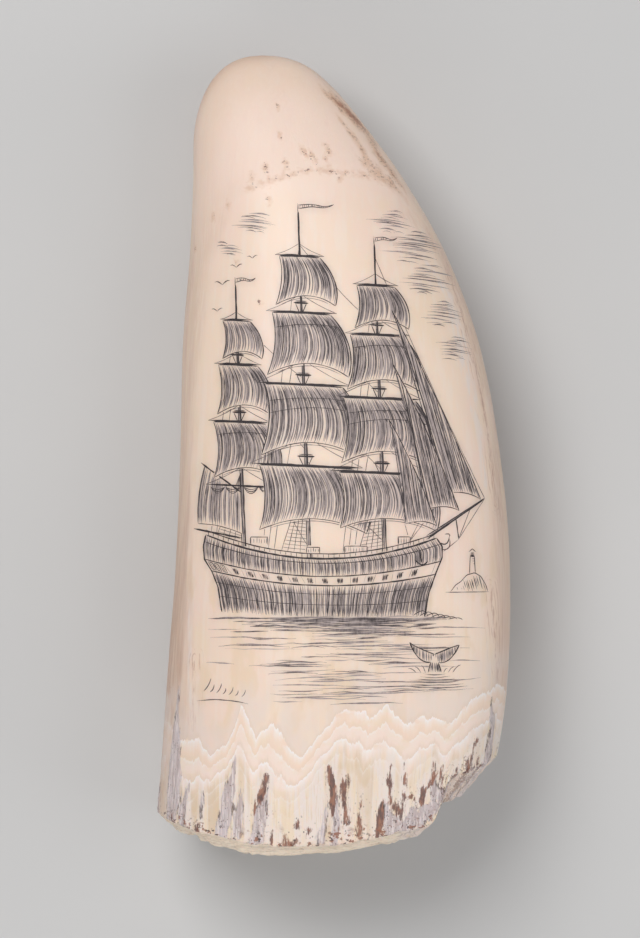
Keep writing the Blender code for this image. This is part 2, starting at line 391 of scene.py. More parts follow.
def growth_heights(w):
    """The Y of the upper and the lower growth line at places round the girth, all the way round."""
    rows = [(girth_of(x, upper), upper, lower) for x, upper, lower in GROWTH_LINES]
    rng = random.Random(5)
    steps = 9
    start, end = rows[-1][0], rows[0][0] + GIRTH
    for i in range(1, steps):
        place = start + (end - start) * i / steps
        upper = rng.uniform(-44, -35) if i % 2 else rng.uniform(-50, -44)
        rows.append((place, upper, upper - rng.uniform(5.5, 8.5)))
    rows = sorted((place - GIRTH if place > GIRTH / 2 else place, a, b) for place, a, b in rows)
    places, *heights = zip(*rows)
    return tuple(np.interp(w, places, height, period=GIRTH) for height in heights)


def face_depth(x, y):
    """How far inside the polished face a place lies, in mm, and below 0 outside it."""
    right_x, right_y = np.transpose(RIGHT_EDGE)
    left_x, left_y = np.transpose(LEFT_EDGE)
    right = np.interp(-y, -right_y, right_x) - x
    left = x - np.interp(-y, -left_y, left_x)
    top = np.interp(x, *np.transpose(TOP_ARC)) - y
    return np.minimum(np.minimum(right, left), top)


def read_markings(points, angles):
    """The natural markings at points of the outer surface, as fields that its relief and colours share."""
    mm = points / MM
    x, y = mm[..., 0], mm[..., 1]
    w = girth_place(angles) + 0 * x
    facing = smooth(np.sin(angles) * 4) + 0 * x
    long_teeth = 1 - 2 * np.abs(value_noise(mm, (2.1, 300, 2.1), 3))
    short_teeth = 1 - 2 * np.abs(value_noise(mm, (0.9, 300, 0.9), 4))
    upper, lower = growth_heights(w)
    ragged_w = w + 0.45 * rough_noise(mm, (2.2, 7.0, 2.2), 3, 51)
    ragged_y = y + 1.2 * rough_noise(mm, (1.1, 5.0, 1.1), 2, 52)
    flames = on_girth(GREY_FLAMES) + back_paths(21, 17, (-56, -44), (9, 22), (0.6, 1.7))
    stains = on_girth(BROWN_STAINS) + back_paths(22, 14, (-60, -50), (3, 12), (0.2, 0.6))
    pits = [((px, py, r), (px, py - 0.1, r)) for px, py, r in TIP_PITS + ROOT_PITS]
    return {
        "rim": y - (REST_SHARE * TOOTH_LENGTH - rim_distance(angles)) / MM,
        "face": np.where(facing > 0.5, face_depth(x, y), OFF_FACE) * facing + OFF_FACE * (1 - facing),
        "growth": (upper + 0.8 * long_teeth + 0.5 * short_teeth - y) / np.maximum(upper - lower, 1.0),
        "grey": path_depth(ragged_w, ragged_y, flames),
        "brown": path_depth(ragged_w, ragged_y, stains),
        "stain": path_depth(ragged_w, ragged_y, on_girth(TIP_STAINS)),
        "pits": path_depth(w, y, on_girth([PITTED_ARC, *pits])),
        "line": path_depth(w, y, on_girth(RED_LINES)),
        # pale: where the pale streaks of painted reflection lie
        "pale": path_depth(w, y, on_girth(PAINTED_REFLECTION_STREAKS)),
    }


# The fine mesh of the tooth, and the heights and depths of its relief in mm
SWELL_HEIGHT = 0.10
GROOVE_HEIGHT = 0.13
GRAIN_HEIGHT = 0.035
POLISH_DEPTH = 0.10
FLAME_DEPTH = 0.20
FLAME_GRAIN = 0.12
STAIN_DEPTH = 0.14
PIT_DEPTH = 0.12
TERRACE_DEPTH = 0.05
RIM_WEAR = 0.12
RIM_GRAIN = 0.14
CHIP_DEPTH = 1.5
HOLLOW_DEPTH = 0.34
HOLLOW_SHIFT = 0.12
RING_HEIGHT = 0.10
WALL_GRAIN = 0.16


def row_distances():
    """How far from the tip the rows lie, before they are bent to the rim."""
    rows = [TIP_STEP]
    while rows[-1] < TOOTH_LENGTH - ROOT_STEP:
        near_tip = TIP_STEP + (FACE_STEP - TIP_STEP) * smooth(rows[-1] / TIP_END)
        near_root = FACE_STEP + (ROOT_STEP - FACE_STEP) * smooth((rows[-1] - ROOT_START) / (8 * MM))
        rows.append(rows[-1] + float(min(near_tip, near_root)))
    rows[-1] = TOOTH_LENGTH
    return np.array(rows)


def grid_normals(points):
    """Outward normals of a closed grid of rings."""
    around = np.roll(points, -1, axis=1) - np.roll(points, 1, axis=1)
    normal = np.cross(np.gradient(points, axis=0), around)
    return normal / np.maximum(np.linalg.norm(normal, axis=-1, keepdims=True), 1e-12)


def outer_relief(mm, marks):
    """How far the surface stands in or out along its normal, in mm."""
    from_tip = REST_SHARE * TOOTH_LENGTH / MM - mm[..., 1]
    unpolished = (1 - smooth(0.5 + marks["face"] / 1.2)) * smooth((from_tip - 34) / 40)
    swell = SWELL_HEIGHT * value_noise(mm, (15, 28, 15), 11) * smooth(from_tip / 20)
    grooves = GROOVE_HEIGHT * value_noise(mm, (3.0, 46, 3.0), 12)
    grain = GRAIN_HEIGHT * rough_noise(mm, (1.6, 3.2, 1.6), 2, 13)
    flame_grain = FLAME_GRAIN * rough_noise(mm, (0.9, 2.6, 0.9), 2, 14)
    rim_grain = RIM_GRAIN * rough_noise(mm, (1.3, 0.9, 1.3), 3, 15)
    terraces = np.mod(marks["growth"] * 2, 1.0)
    in_growth = smooth(marks["growth"] * 4 + 1) * smooth((3.2 - marks["growth"]) / 0.6)
    broken = smooth((3.4 - marks["rim"]) / 2.6)
    relief = swell + unpolished * (grooves + grain)
    relief -= POLISH_DEPTH * smooth(0.5 + marks["face"] / 0.8) * smooth((mm[..., 1] - 40) / 20)
    relief -= smooth(marks["grey"] + 0.4) * (FLAME_DEPTH + flame_grain)
    relief -= STAIN_DEPTH * smooth(marks["brown"] + 0.5)
    relief -= PIT_DEPTH * smooth((marks["pits"] - 0.1) / 0.5)
    relief -= TERRACE_DEPTH * in_growth * terraces
    return relief - broken * (RIM_WEAR + rim_grain)


def chipped(points, near_rim):
    """Points near the rim, with chips out of it: the root ends sooner where one is."""
    chips = np.clip(rough_noise(points / MM, (3.4, 300, 3.4), 4, 61) - 0.12, 0, 0.8)
    return points + TIPWARD * (CHIP_DEPTH * chips * near_rim * MM)[..., None]


def broken_rim(edge):
    """Rows from the outer surface's edge over the rim's ridge to the cavity's mouth, with hollows in them."""
    rim = rim_distance(COLUMN_ANGLES)
    outer, inner = section_point(rim, COLUMN_ANGLES), pulp_point(rim, COLUMN_ANGLES)
    ridge = chipped(outer + (inner - outer) * RIDGE_SHARE, 1.0)
    mouth = pulp_point(rim - INNER_BEVEL, COLUMN_ANGLES)
    ridge_row = 0.6
    rows = []
    for i in range(1, BROKEN_ROWS + 1):
        share = i / BROKEN_ROWS
        if share < ridge_row:
            place = edge + (ridge - edge) * (share / ridge_row)
        else:
            place = ridge + (mouth - ridge) * ((share - ridge_row) / (1 - ridge_row))
        fade = math.sin(math.pi * min(share * 1.25, 1)) ** 0.5 if share < 1 else 0.0
        hollows = rough_noise(place / MM, (2.4, 1.2, 1.8), 3, 31) * HOLLOW_DEPTH - HOLLOW_SHIFT
        rows.append(place - TIPWARD * (np.minimum(hollows, 0.10) * fade * MM)[:, None])
    return np.array(rows)


def cavity_wall():
    """Rows from the pulp cavity's mouth to its apex, with growth rings in them."""
    mouth = rim_distance(COLUMN_ANGLES)[None, :] - INNER_BEVEL
    apex = TOOTH_LENGTH - PULP_DEPTH
    shares = (np.arange(1, PULP_ROWS) / PULP_ROWS)[:, None]
    distance = apex + (mouth - apex) * (1 - shares) ** ROW_POWER
    wall = pulp_point(distance, COLUMN_ANGLES[None, :])
    rings = RING_HEIGHT * np.sin(wall[..., 1] / MM * 2.4 + 1.5 * value_noise(wall / MM, 6, 41))
    rings = rings + WALL_GRAIN * rough_noise(wall / MM, (2.5, 4, 2.5), 3, 42)
    settle = smooth((mouth - distance) / (3 * MM)) * smooth((distance - apex) / (4 * MM))
    return wall - grid_normals(wall) * (rings * settle * MM)[..., None]


def tooth_grid():
    """Rings of points from the tip over the rim into the cavity, their fields, and the rim's last row.

    The fields of the outer surface's last row run on. The rim's own field goes on to 2 over the rim, and it
    is 3 in the cavity.
    """
    angles = COLUMN_ANGLES[None, :]
    outer = section_point(bent_distance(row_distances()[:, None], angles), angles)
    marks = read_markings(outer, angles)
    outer = outer + grid_normals(outer) * (outer_relief(outer / MM, marks) * MM)[..., None]
    outer = chipped(outer, smooth((4.0 - marks["rim"]) / 3.4))
    wall = cavity_wall()
    grid = np.concatenate((outer, broken_rim(outer[-1]), wall))
    grid[..., 2] = np.maximum(grid[..., 2], 0.0)

    more = len(grid) - len(outer)
    fields = {}
    for name, field in marks.items():
        fields[name] = np.concatenate((field, np.repeat(field[-1:], more, axis=0)))
    over_rim = 2 * np.linspace(1 / BROKEN_ROWS, 1, BROKEN_ROWS)[:, None] + np.zeros((1, COLUMNS))
    in_cavity = np.full((len(wall), COLUMNS), 3.0)
    fields["rim"] = np.concatenate((-np.clip(marks["rim"], 0, 40), over_rim, in_cavity))
    return grid, fields, len(outer) + BROKEN_ROWS - 1


# The texture's three strips, for the face, the back and the cavity, as start and width
FACE_STRIP, BACK_STRIP, CAVITY_STRIP = (0.004, 0.602), (0.614, 0.322), (0.945, 0.05)
RING_TOP, POLE_TOP = 0.995, 0.999


def texture_places(column, inside, corners):
    """Texture places of faces, given how far across its column and how far up each corner lies."""
    on_face = column < FACE_COLUMNS
    places = []
    for edge, height in corners:
        face = FACE_STRIP[0] + FACE_STRIP[1] * (column + edge) / FACE_COLUMNS
        back = BACK_STRIP[0] + BACK_STRIP[1] * (column + edge - FACE_COLUMNS) / BACK_COLUMNS
        cavity = CAVITY_STRIP[0] + CAVITY_STRIP[1] * (column + edge) / COLUMNS
        across = np.where(inside, cavity, np.where(on_face, face, back))
        places.append(np.stack(np.broadcast_arrays(across, height), -1))
    return np.stack(places, -2).reshape(-1, 2)


def texture_heights(grid, first_inner, inside, row):
    """How far up the texture rows lie, by their distance along the middle of the face."""
    length = np.cumsum([0, *np.linalg.norm(np.diff(grid[:, FACE_COLUMNS // 2], axis=0), axis=1)])
    outer = 0.005 + 0.99 * (1 - length / length[first_inner])
    inner = 0.005 + 0.99 * (length - length[first_inner]) / (length[-1] - length[first_inner])
    return np.where(inside, inner[row], outer[row])


def add_to_scene(name, data):
    thing = bpy.data.objects.new(name, data)
    bpy.context.scene.collection.objects.link(thing)
    return thing


def make_piece(name, points, faces, fields, places, materials):
    """A smooth mesh on the tooth's body, with fields on its points and texture places on its corners."""
    mesh = bpy.data.meshes.new(name)
    mesh.from_pydata(points, [], faces)
    mesh.update()
    for field, values in fields.items():
        mesh.attributes.new(field, "FLOAT", "POINT").data.foreach_set("value", np.array(values, np.float32))
    mesh.uv_layers.new(name="OFBake").data.foreach_set("uv", np.array(places, np.float32).ravel())
    mesh.shade_smooth()
    for material in materials:
        mesh.materials.append(material)
    piece = add_to_scene(name, mesh)
    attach(piece, "root")
    return piece


def make_tooth(materials):
    """Rings of quads, closed by triangles round the tip and round the cavity's apex."""
    grid, fields, first_inner = tooth_grid()
    rows = len(grid)
    tip = section_point(np.array(0.0), np.array(0.0))
    apex = pulp_point(np.array(TOOTH_LENGTH - PULP_DEPTH), np.array(0.0))
    points = np.concatenate((grid.reshape(-1, 3), [tip, apex]))
    fields = {name: np.append(field, (field[0].mean(), field[-1].mean())) for name, field in fields.items()}

    row, column = np.meshgrid(np.arange(rows - 1), np.arange(COLUMNS), indexing="ij")
    after = (column + 1) % COLUMNS
    here, following = row * COLUMNS, (row + 1) * COLUMNS
    quads = np.stack((here + column, following + column, following + after, here + after), -1)
    ring = np.arange(COLUMNS)
    turned = (ring + 1) % COLUMNS
    tip_fan = np.stack((0 * ring + rows * COLUMNS, ring, turned), -1)
    last_ring = (rows - 1) * COLUMNS
    apex_fan = np.stack((0 * ring + rows * COLUMNS + 1, last_ring + turned, last_ring + ring), -1)
    faces = quads.reshape(-1, 4).tolist() + tip_fan.tolist() + apex_fan.tolist()

    inside = row >= first_inner
    v_here = texture_heights(grid, first_inner, inside, row)
    v_next = texture_heights(grid, first_inner, inside, row + 1)
    places = np.concatenate((
        texture_places(column, inside, ((0, v_here), (0, v_next), (1, v_next), (1, v_here))),
        texture_places(ring, False, ((0.5, POLE_TOP), (0, RING_TOP), (1, RING_TOP))),
        texture_places(ring, True, ((0.5, POLE_TOP), (1, RING_TOP), (0, RING_TOP))),
    ))
    tooth = make_piece("scrimshaw_tooth", points.tolist(), faces, fields, places, materials)
    in_cavity = np.concatenate((inside.ravel(), np.zeros(COLUMNS), np.ones(COLUMNS)))
    tooth.data.polygons.foreach_set("material_index", in_cavity.astype(np.int32))
    tooth.data.validate()
    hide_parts("whale_tooth")
    return tooth


# The engraving: strokes in mm on the face, seen from above, whose tone goes from 0, pale, to 1, black
STROKE_STEP = 0.4
INK_LIFT = 0.010 * MM


def bend(a, b, bow=(0.0, 0.0), count=33):
    """A curve from a to b whose middle is pulled aside by bow, as points."""
    a, b, bow = np.array(a, float), np.array(b, float), np.array(bow, float)
    t = np.linspace(0, 1, count)[:, None]
    return a + (b - a) * t + 4 * t * (1 - t) * bow


def along(points, shares):
    """Points at shares of the way along a path, by its length."""
    points = np.asarray(points, float)
    lengths = np.concatenate(([0], np.cumsum(np.hypot(*np.diff(points, axis=0).T))))
    at = np.asarray(shares) * lengths[-1]
    return np.stack((np.interp(at, lengths, points[:, 0]), np.interp(at, lengths, points[:, 1])), -1)


def within(points, outline):
    """Which of the points lie inside a closed outline."""
    x, y = points[:, 0], points[:, 1]
    inside = np.zeros(len(points), bool)
    for (ax, ay), (bx, by) in zip(outline, np.roll(outline, -1, axis=0)):
        if ay != by:
            crosses = (ay > y) != (by > y)
            inside ^= crosses & (x < (bx - ax) * (y - ay) / (by - ay) + ax)
    return inside


class Patch:
    """A four-sided field between curves: top and bottom run from left to right, left and right downwards."""

    def __init__(self, top, bottom, left, right):
        self.top, self.bottom, self.left, self.right = top, bottom, left, right

    def at(self, u, v):
        u, v = np.broadcast_arrays(np.asarray(u, float), np.asarray(v, float))
        a, b = u[:, None], v[:, None]
        corners = (
            (1 - a) * (1 - b) * self.top[0] + a * (1 - b) * self.top[-1]
            + (1 - a) * b * self.bottom[0] + a * b * self.bottom[-1]
        )
        rows = (1 - b) * along(self.top, u) + b * along(self.bottom, u)
        return rows + (1 - a) * along(self.left, v) + a * along(self.right, v) - corners

    def column(self, u, start=0.0, end=1.0):
        return self.at(u, np.linspace(start, end, 17))

    def row(self, v, start=0.0, end=1.0):
        return self.at(np.linspace(start, end, 33), v)

    def part(self, left, right, top=0.0, bottom=1.0):
        """The part between shares of its width and of its height."""
        return Patch(
            self.row(top, left, right), self.row(bottom, left, right),
            self.column(left, top, bottom), self.column(right, top, bottom),
        )

    def outline(self):
        return np.concatenate((self.top, self.right, self.bottom[::-1], self.left[::-1]))

    def width(self):
        return float(np.hypot(*(self.at([1.0], [0.5]) - self.at([0.0], [0.5]))[0]))


class Picture:
    """The strokes of a picture, drawn front to back: what a shield covers isn't drawn over later."""

    def __init__(self, seed):
        self.random = random.Random(seed)
        self.strokes = []
        self.shields = []

    def shield(self, outline):
        self.shields.append(np.asarray(outline, float))

    def stroke(self, points, width, tone=0.9, pointed=0.5, wobble=0.03, shielded=True):
        """A slightly unsteady stroke along a path, its ends drawn out to points over a length in mm."""
        points = np.asarray(points, float)
        length = float(np.hypot(*np.diff(points, axis=0).T).sum())
        count = max(int(length / STROKE_STEP) + 1, 4)
        places = along(points, np.linspace(0, 1, count))
        direction = np.gradient(places, axis=0)
        direction /= np.maximum(np.hypot(*direction.T)[:, None], 1e-9)
        side = np.stack((-direction[:, 1], direction[:, 0]), -1)
        s = np.linspace(0, length, count)
        start = self.random.uniform(0, 1000)
        unsteady = value_noise(np.stack((s / 2.2 + start, 0 * s, 0 * s), -1), 1.0, 7)
        pressure = value_noise(np.stack((s / 1.1 + start, 0 * s + 9, 0 * s), -1), 1.0, 8)
        places = places + side * (unsteady * wobble)[:, None]
        reach = min(pointed, length * 0.45)
        taper = np.clip(np.minimum(s, length - s) / max(reach, 1e-6), 0.2, 1)
        widths = width * taper * (0.95 + 0.30 * pressure)
        seen = np.ones(count, bool)
        for outline in self.shields if shielded else ():
            if (places.max(0) > outline.min(0)).all() and (places.min(0) < outline.max(0)).all():
                seen &= ~within(places, outline)
        starts = np.flatnonzero(seen & ~np.concatenate(([False], seen[:-1])))
        ends = np.flatnonzero(seen & ~np.concatenate((seen[1:], [False])))
        for first, last in zip(starts, ends):
            if last - first >= 2:
                part = slice(first, last + 1)
                self.strokes.append((places[part], widths[part], side[part], tone))

    def lines(self, paths, width, tone=0.9, pointed=0.5):
        """Strokes of one kind along several paths."""
        for path in paths:
            self.stroke(path, width, tone, pointed)

    def hatch(self, patch, spacing, width, tones, ragged=0.05, thin=0.0):
        """Strokes down a patch, with unsteady spacing, width, tone and ends. The share thin is left out."""
        count = max(int(patch.width() / spacing), 2)
        for i in range(count + 1):
            u = (i + self.random.uniform(-0.35, 0.35)) / count
            if not 0.004 < u < 0.996 or self.random.random() < thin:
                continue
            first, last = self.random.uniform(0, ragged), 1 - self.random.uniform(0, ragged)
            drift = self.random.uniform(-0.5, 0.5) / count
            shares = np.linspace(first, last, 17)
            path = patch.at(np.clip(u + drift * (shares - first), 0.0, 1.0), shares)
            self.stroke(path, width * self.random.uniform(0.6, 1.3), self.random.uniform(*tones), 1.2, 0.05)

    def shade(self, outline, angle, spacing, width, tones, ragged=0.2, thin=0.0):
        """Straight strokes at an angle across an outline, which end up to ragged mm inside it.

        The share thin of them is left out.
        """
        outline = np.asarray(outline, float)
        forward = np.array((math.cos(angle), math.sin(angle)))
        across = np.array((-forward[1], forward[0]))
        place = (outline @ across).min() + spacing / 2
        reach = outline @ forward
        while place < (outline @ across).max():
            line = across * place + forward * np.linspace(reach.min(), reach.max(), 240)[:, None]
            inside = line[within(line, outline)]
            if len(inside) > 3 and self.random.random() >= thin:
                first = inside[0] + forward * self.random.uniform(0, ragged)
                last = inside[-1] - forward * self.random.uniform(0, ragged)
                if (last - first) @ forward > 0.2:
                    tone = self.random.uniform(*tones)
                    self.stroke((first, last), width * self.random.uniform(0.7, 1.3), tone, 0.8)
            place += spacing * self.random.uniform(0.7, 1.3)


# The ship, heading right with its sails full: each mast's foot and top, and its sails from the top down as
# (yard's height, half the yard's length, height of the sail's foot, half its foot's length)
FORE_MAST = ((10.6, -7.0), (8.6, 53.5), (
    (45.2, 4.0, 36.9, 5.3), (35.4, 5.7, 24.7, 7.2), (22.9, 7.6, 10.2, 8.8), (8.2, 9.0, -2.6, 9.5),
))
MAIN_MAST = ((-4.2, -8.6), (-6.4, 60.0), (
    (51.0, 4.3, 41.5, 5.9), (39.8, 6.2, 27.6, 8.0), (25.6, 8.2, 11.7, 9.7), (9.6, 9.9, -3.0, 10.5),
))
MIZZEN_MAST = ((-17.0, -7.6), (-18.8, 45.5), (
    (38.4, 2.9, 31.0, 3.9), (29.6, 4.2, 20.0, 5.3), (18.3, 5.6, 7.4, 6.4),
))
YARD_SLOPE = -0.045
SAIL_SHIFT = 0.9
HULL_STERN = (-24.6, -3.8)
HULL_BOW = (20.8, -4.4)
WATER_STERN = (-21.4, -19.0)
WATER_BOW = (18.4, -19.8)
BOWSPRIT_START, BOWSPRIT_END = np.array((18.8, -4.3)), np.array((30.4, 3.4))
RAIL_HEIGHT = 0.95

# Widths in mm and tones of the strokes
BOLD, LINE, THIN, HAIR = 0.34, 0.21, 0.15, 0.11
SAIL_WASH, SAIL_GRAIN = (0.10, 0.50), (0.45, 0.85)
HULL_WASH, HULL_GRAIN = (0.15, 0.55), (0.50, 0.90)
ROPE = 0.62
BLACK = (0.9, 1.0)


def mast_x(mast, y):
    """Where a mast stands at a height y, as it leans a little."""
    (fx, fy), (tx, ty), _ = mast
    return fx + (tx - fx) * (y - fy) / (ty - fy)


def sail_patch(mast, row):
    """A square sail between its yard and its foot, swelling to the right."""
    yard_y, head, foot_y, foot = row
    x_head, x_foot = mast_x(mast, yard_y), mast_x(mast, foot_y) + SAIL_SHIFT
    head_left = (x_head - head * 0.93, yard_y - head * YARD_SLOPE)
    head_right = (x_head + head * 0.93, yard_y + head * YARD_SLOPE)
    foot_left = (x_foot - foot, foot_y - foot * YARD_SLOPE - 0.2)
    foot_right = (x_foot + foot, foot_y + foot * YARD_SLOPE)
    drop = yard_y - foot_y
    return Patch(
        bend(head_left, head_right, (0, 0.05)),
        bend(foot_left, foot_right, (0.3, 0.20 * drop)),
        bend(head_left, foot_left, (0.085 * drop, 0)),
        bend(head_right, foot_right, (0.150 * drop, 0)),
    )


def draw_sail(picture, patch, reefs):
    """A square sail: its edges, hatching that is closest at its sides, and its reef points."""
    for edge, width in ((patch.top, LINE), (patch.left, THIN), (patch.right, LINE), (patch.bottom, THIN)):
        picture.stroke(edge, width, 0.9, 0.3)
    picture.stroke(patch.bottom[3:-3] - (0.0, 0.45), HAIR, 0.6, 1.5)
    for band in range(reefs):
        v = 0.24 + 0.17 * band
        picture.stroke(patch.row(v, 0.01, 0.99), HAIR, 0.8, 0.3)
        count = int(patch.width() / 1.25)
        ties = [patch.at([i / count, i / count + 0.004], [v - 0.022, v + 0.055]) for i in range(1, count)]
        picture.lines(ties, THIN, 0.95, 0.2)
    picture.hatch(patch, 0.40, 0.33, SAIL_WASH, 0.04)
    picture.hatch(patch, 0.62, 0.16, SAIL_GRAIN, 0.22)
    picture.hatch(patch.part(0, 1, 0, 0.5), 0.95, 0.15, SAIL_GRAIN, 0.3)
    for side in (patch.part(0.70, 1), patch.part(0, 0.2)):
        picture.hatch(side, 0.62, 0.17, SAIL_GRAIN, 0.25)


def draw_yard(picture, mast, yard_y, head, furled=False):
    """A yard and its lifts, with the folds of a furled sail under it if there is one."""
    x = mast_x(mast, yard_y)
    ends = [(x + side * head * 1.12, yard_y + 0.28 + side * head * 1.12 * YARD_SLOPE) for side in (-1, 1)]
    picture.stroke(ends, 0.40, 1.0, 2.4, 0.015)
    for side in (-1, 1) if furled else ():
        for start in (0.06, 0.53):
            a = (x + side * head * start, yard_y + 0.05)
            b = (x + side * head * (start + 0.44), yard_y + 0.05 - 0.02 * side)
            picture.lines([bend(a, b, (0, -depth)) for depth in (0.5, 0.9, 1.25)], 0.14, 0.8)
    lift_top = (mast_x(mast, yard_y + head * 0.62), yard_y + head * 0.62)
    picture.lines([bend(lift_top, end, (0, -0.25)) for end in ends], HAIR, ROPE)


def draw_mast(picture, mast):
    """A mast's two sides and the shade between them, with a platform over each sail but the top one."""
    (fx, fy), (tx, ty), rows = mast
    for row in rows[1:]:
        y, half = row[0] + 2.1, 1.0 + 0.07 * row[1]
        x = mast_x(mast, y)
        picture.stroke(((x - half, y + 0.06), (x + half, y - 0.06)), 0.42, 1.0)
        picture.stroke(((x - half * 0.8, y + 0.4), (x + half * 0.8, y + 0.3)), THIN, 0.8)
        struts = [((x + side * half * 0.8, y), (x + side * 0.2, y - 1.5 * half)) for side in (-1, 1)]
        picture.lines(struts, THIN, 0.9, 0.3)
    for side, width in ((-1, 0.17), (1, 0.26)):
        picture.stroke(((fx + side * 0.35, fy), (tx + side * 0.05, ty)), width, 0.95)
    picture.stroke(((fx, fy), (mast_x(mast, ty * 0.7), ty * 0.7)), 0.30, 0.45, 3.0)
    picture.stroke(((tx, ty - 1.0), (tx - 0.1, ty + 1.6)), THIN, 0.9, 1.0)


def draw_shrouds(picture, mast, deck):
    """Shrouds from a top down to the rail, with their ratlines."""
    top_y, spread = 8.5, 4.6
    top = np.array((mast_x(mast, top_y) - 0.1, top_y))
    feet = [deck(top[0] - spread * share) for share in (1.0, 0.74, 0.48, 0.22, -0.08)]
    picture.lines([(top, foot) for foot in feet], HAIR, 0.8)
    for share in np.arange(6, 22) / 22:
        picture.stroke((top + (feet[0] - top) * share, top + (feet[-1] - top) * share), 0.09, ROPE, 0.3)


def hull_patch():
    """The hull's side, from its sheer down to the water."""
    stern = np.array((HULL_STERN, (-25.1, -6.0), (-24.9, -8.6), (-23.4, -11.0), (-22.2, -14.0), WATER_STERN))
    bow = np.array((HULL_BOW, (21.9, -6.0), (21.9, -8.2), (20.7, -11.2), (19.3, -15.0), WATER_BOW))
    sheer = bend(HULL_STERN, HULL_BOW, (0.0, -4.3), 65)
    return Patch(sheer, bend(WATER_STERN, WATER_BOW, (0.0, -0.5), 65), stern, bow)


def draw_hull(picture, hull):
    """The hull: dark planking above and below a pale band of ports, its rail and its houses."""
    for v, width in ((0.0, BOLD), (0.085, THIN), (0.30, LINE), (0.47, 0.26), (0.62, HAIR), (0.80, HAIR)):
        picture.stroke(hull.row(v), width, 0.95)
    picture.stroke(hull.right, 0.30, 1.0, 0.3)
    picture.stroke(hull.left, 0.26, 1.0, 0.3)
    for first in range(3):
        u = 0.012 + 0.026 * first
        pane = hull.part(u, u + 0.017, 0.325, 0.44)
        picture.stroke(np.concatenate((pane.outline(), pane.top[:1])), HAIR, 0.9, 0.1)
        picture.stroke(pane.column(0.5), 0.09, 0.7, 0.1)
    for u in np.linspace(0.115, 0.885, 13):
        port = hull.part(u, u + 0.022, 0.335, 0.435)
        picture.shade(port.outline(), 1.5, 0.17, 0.20, BLACK, 0.05)
    for top, bottom, ragged in ((0.0, 0.30, 0.03), (0.47, 1.0, 0.06)):
        planks = hull.part(0, 1, top, bottom)
        picture.hatch(planks, 0.42, 0.31, HULL_WASH, ragged)
        picture.hatch(planks, 0.60, 0.19, HULL_GRAIN, ragged * 3)
    picture.hatch(hull.part(0, 1, 0.30, 0.47), 1.3, HAIR, SAIL_WASH, 0.05, 0.3)
    for dark in (hull.part(0, 0.13, 0.47), hull.part(0.82, 1, 0.47), hull.part(0.2, 0.8, 0.8)):
        picture.hatch(dark, 0.60, 0.20, HULL_GRAIN, 0.15)
    picture.shield(hull.outline())

    picture.stroke(hull.top + (0.0, RAIL_HEIGHT), LINE, 0.95)
    posts = [(foot, foot + (0.0, RAIL_HEIGHT)) for foot in along(hull.top, (np.arange(44) + 0.5) / 44)]
    picture.lines(posts, HAIR, 0.8, 0.2)
    for u, width, height in ((0.20, 3.4, 1.5), (0.44, 2.6, 1.2), (0.60, 4.6, 1.4), (0.83, 2.4, 1.6)):
        base = along(hull.top, [u])[0] + (0.0, RAIL_HEIGHT)
        house = base + np.array(((0, 0), (0, height), (width, height), (width, -0.1)))
        picture.stroke(house, THIN, 0.9, 0.1)
        picture.shade(house, 1.57, 0.5, THIN, SAIL_GRAIN, 0.4)
        picture.shield(house)


def draw_bow(picture):
    """The bowsprit, the head's curl, the dolphin striker and the anchor."""
    start, end = BOWSPRIT_START, BOWSPRIT_END
    for side, width in ((0.24, 0.18), (-0.24, 0.30)):
        picture.stroke((start + (0, side * 1.4), end + (0, side * 0.3)), width, 0.95, 0.8)
    picture.stroke((start, end), 0.26, 0.5, 1.5)
    striker_foot = (25.2, -4.6)
    picture.stroke(((24.6, -0.4), striker_foot), LINE, 1.0, 0.3)
    ropes = ((end, striker_foot), (striker_foot, (21.9, -7.2)), ((27.6, 1.6), striker_foot))
    picture.lines(ropes, HAIR, ROPE)
    picture.stroke(bend((21.0, -4.9), (23.3, -4.2), (0.4, -1.0)), 0.24, 0.95)
    picture.stroke(bend((23.3, -4.2), (22.4, -3.6), (0.5, 0.3)), 0.18, 0.95, 0.3)
    picture.stroke(bend((21.6, -6.6), (23.4, -4.6), (0.7, -0.7)), 0.16, 0.9)
    anchor = np.array((17.4, -6.6))
    picture.stroke((anchor, anchor + (0.5, -2.6)), 0.26, 1.0, 0.2, 0.0, False)
    picture.stroke(bend(anchor + (-0.8, -2.0), anchor + (1.7, -2.2), (0.1, -0.9)), 0.26, 1.0, 0.3, 0.0, False)


def draw_jibs(picture):
    """Three-cornered sails between the fore mast and the bowsprit, hatched along their after edges."""
    jibs = (
        ((11.4, 19.0), (20.9, -2.0), (14.6, -1.6)),
        ((12.2, 30.0), (25.3, 1.0), (18.6, 1.2)),
        ((12.0, 40.6), (29.6, 3.2), (22.6, 4.4)),
    )
    for head, tack, clew in jibs:
        luff = bend(head, tack, (0.35, 0.5))
        foot = bend(clew, tack, (0.3, 0.7))
        leech = bend(head, clew, (0.75, 0.3))
        outline = np.concatenate((luff, foot[::-1], leech[::-1]))
        for edge, width in ((luff, LINE), (foot, THIN), (leech, THIN)):
            picture.stroke(edge, width, 0.95)
        slope = math.atan2(clew[1] - head[1], clew[0] - head[0])
        picture.shade(outline, slope + 0.03, 0.42, 0.30, SAIL_WASH, 0.2)
        picture.shade(outline, slope, 0.60, 0.17, SAIL_GRAIN, 1.5)
        picture.shade(outline, slope - 0.05, 1.10, 0.17, SAIL_GRAIN, 3.0)
        picture.shield(outline)
        picture.stroke((clew, (15.5, -5.0)), HAIR, ROPE)


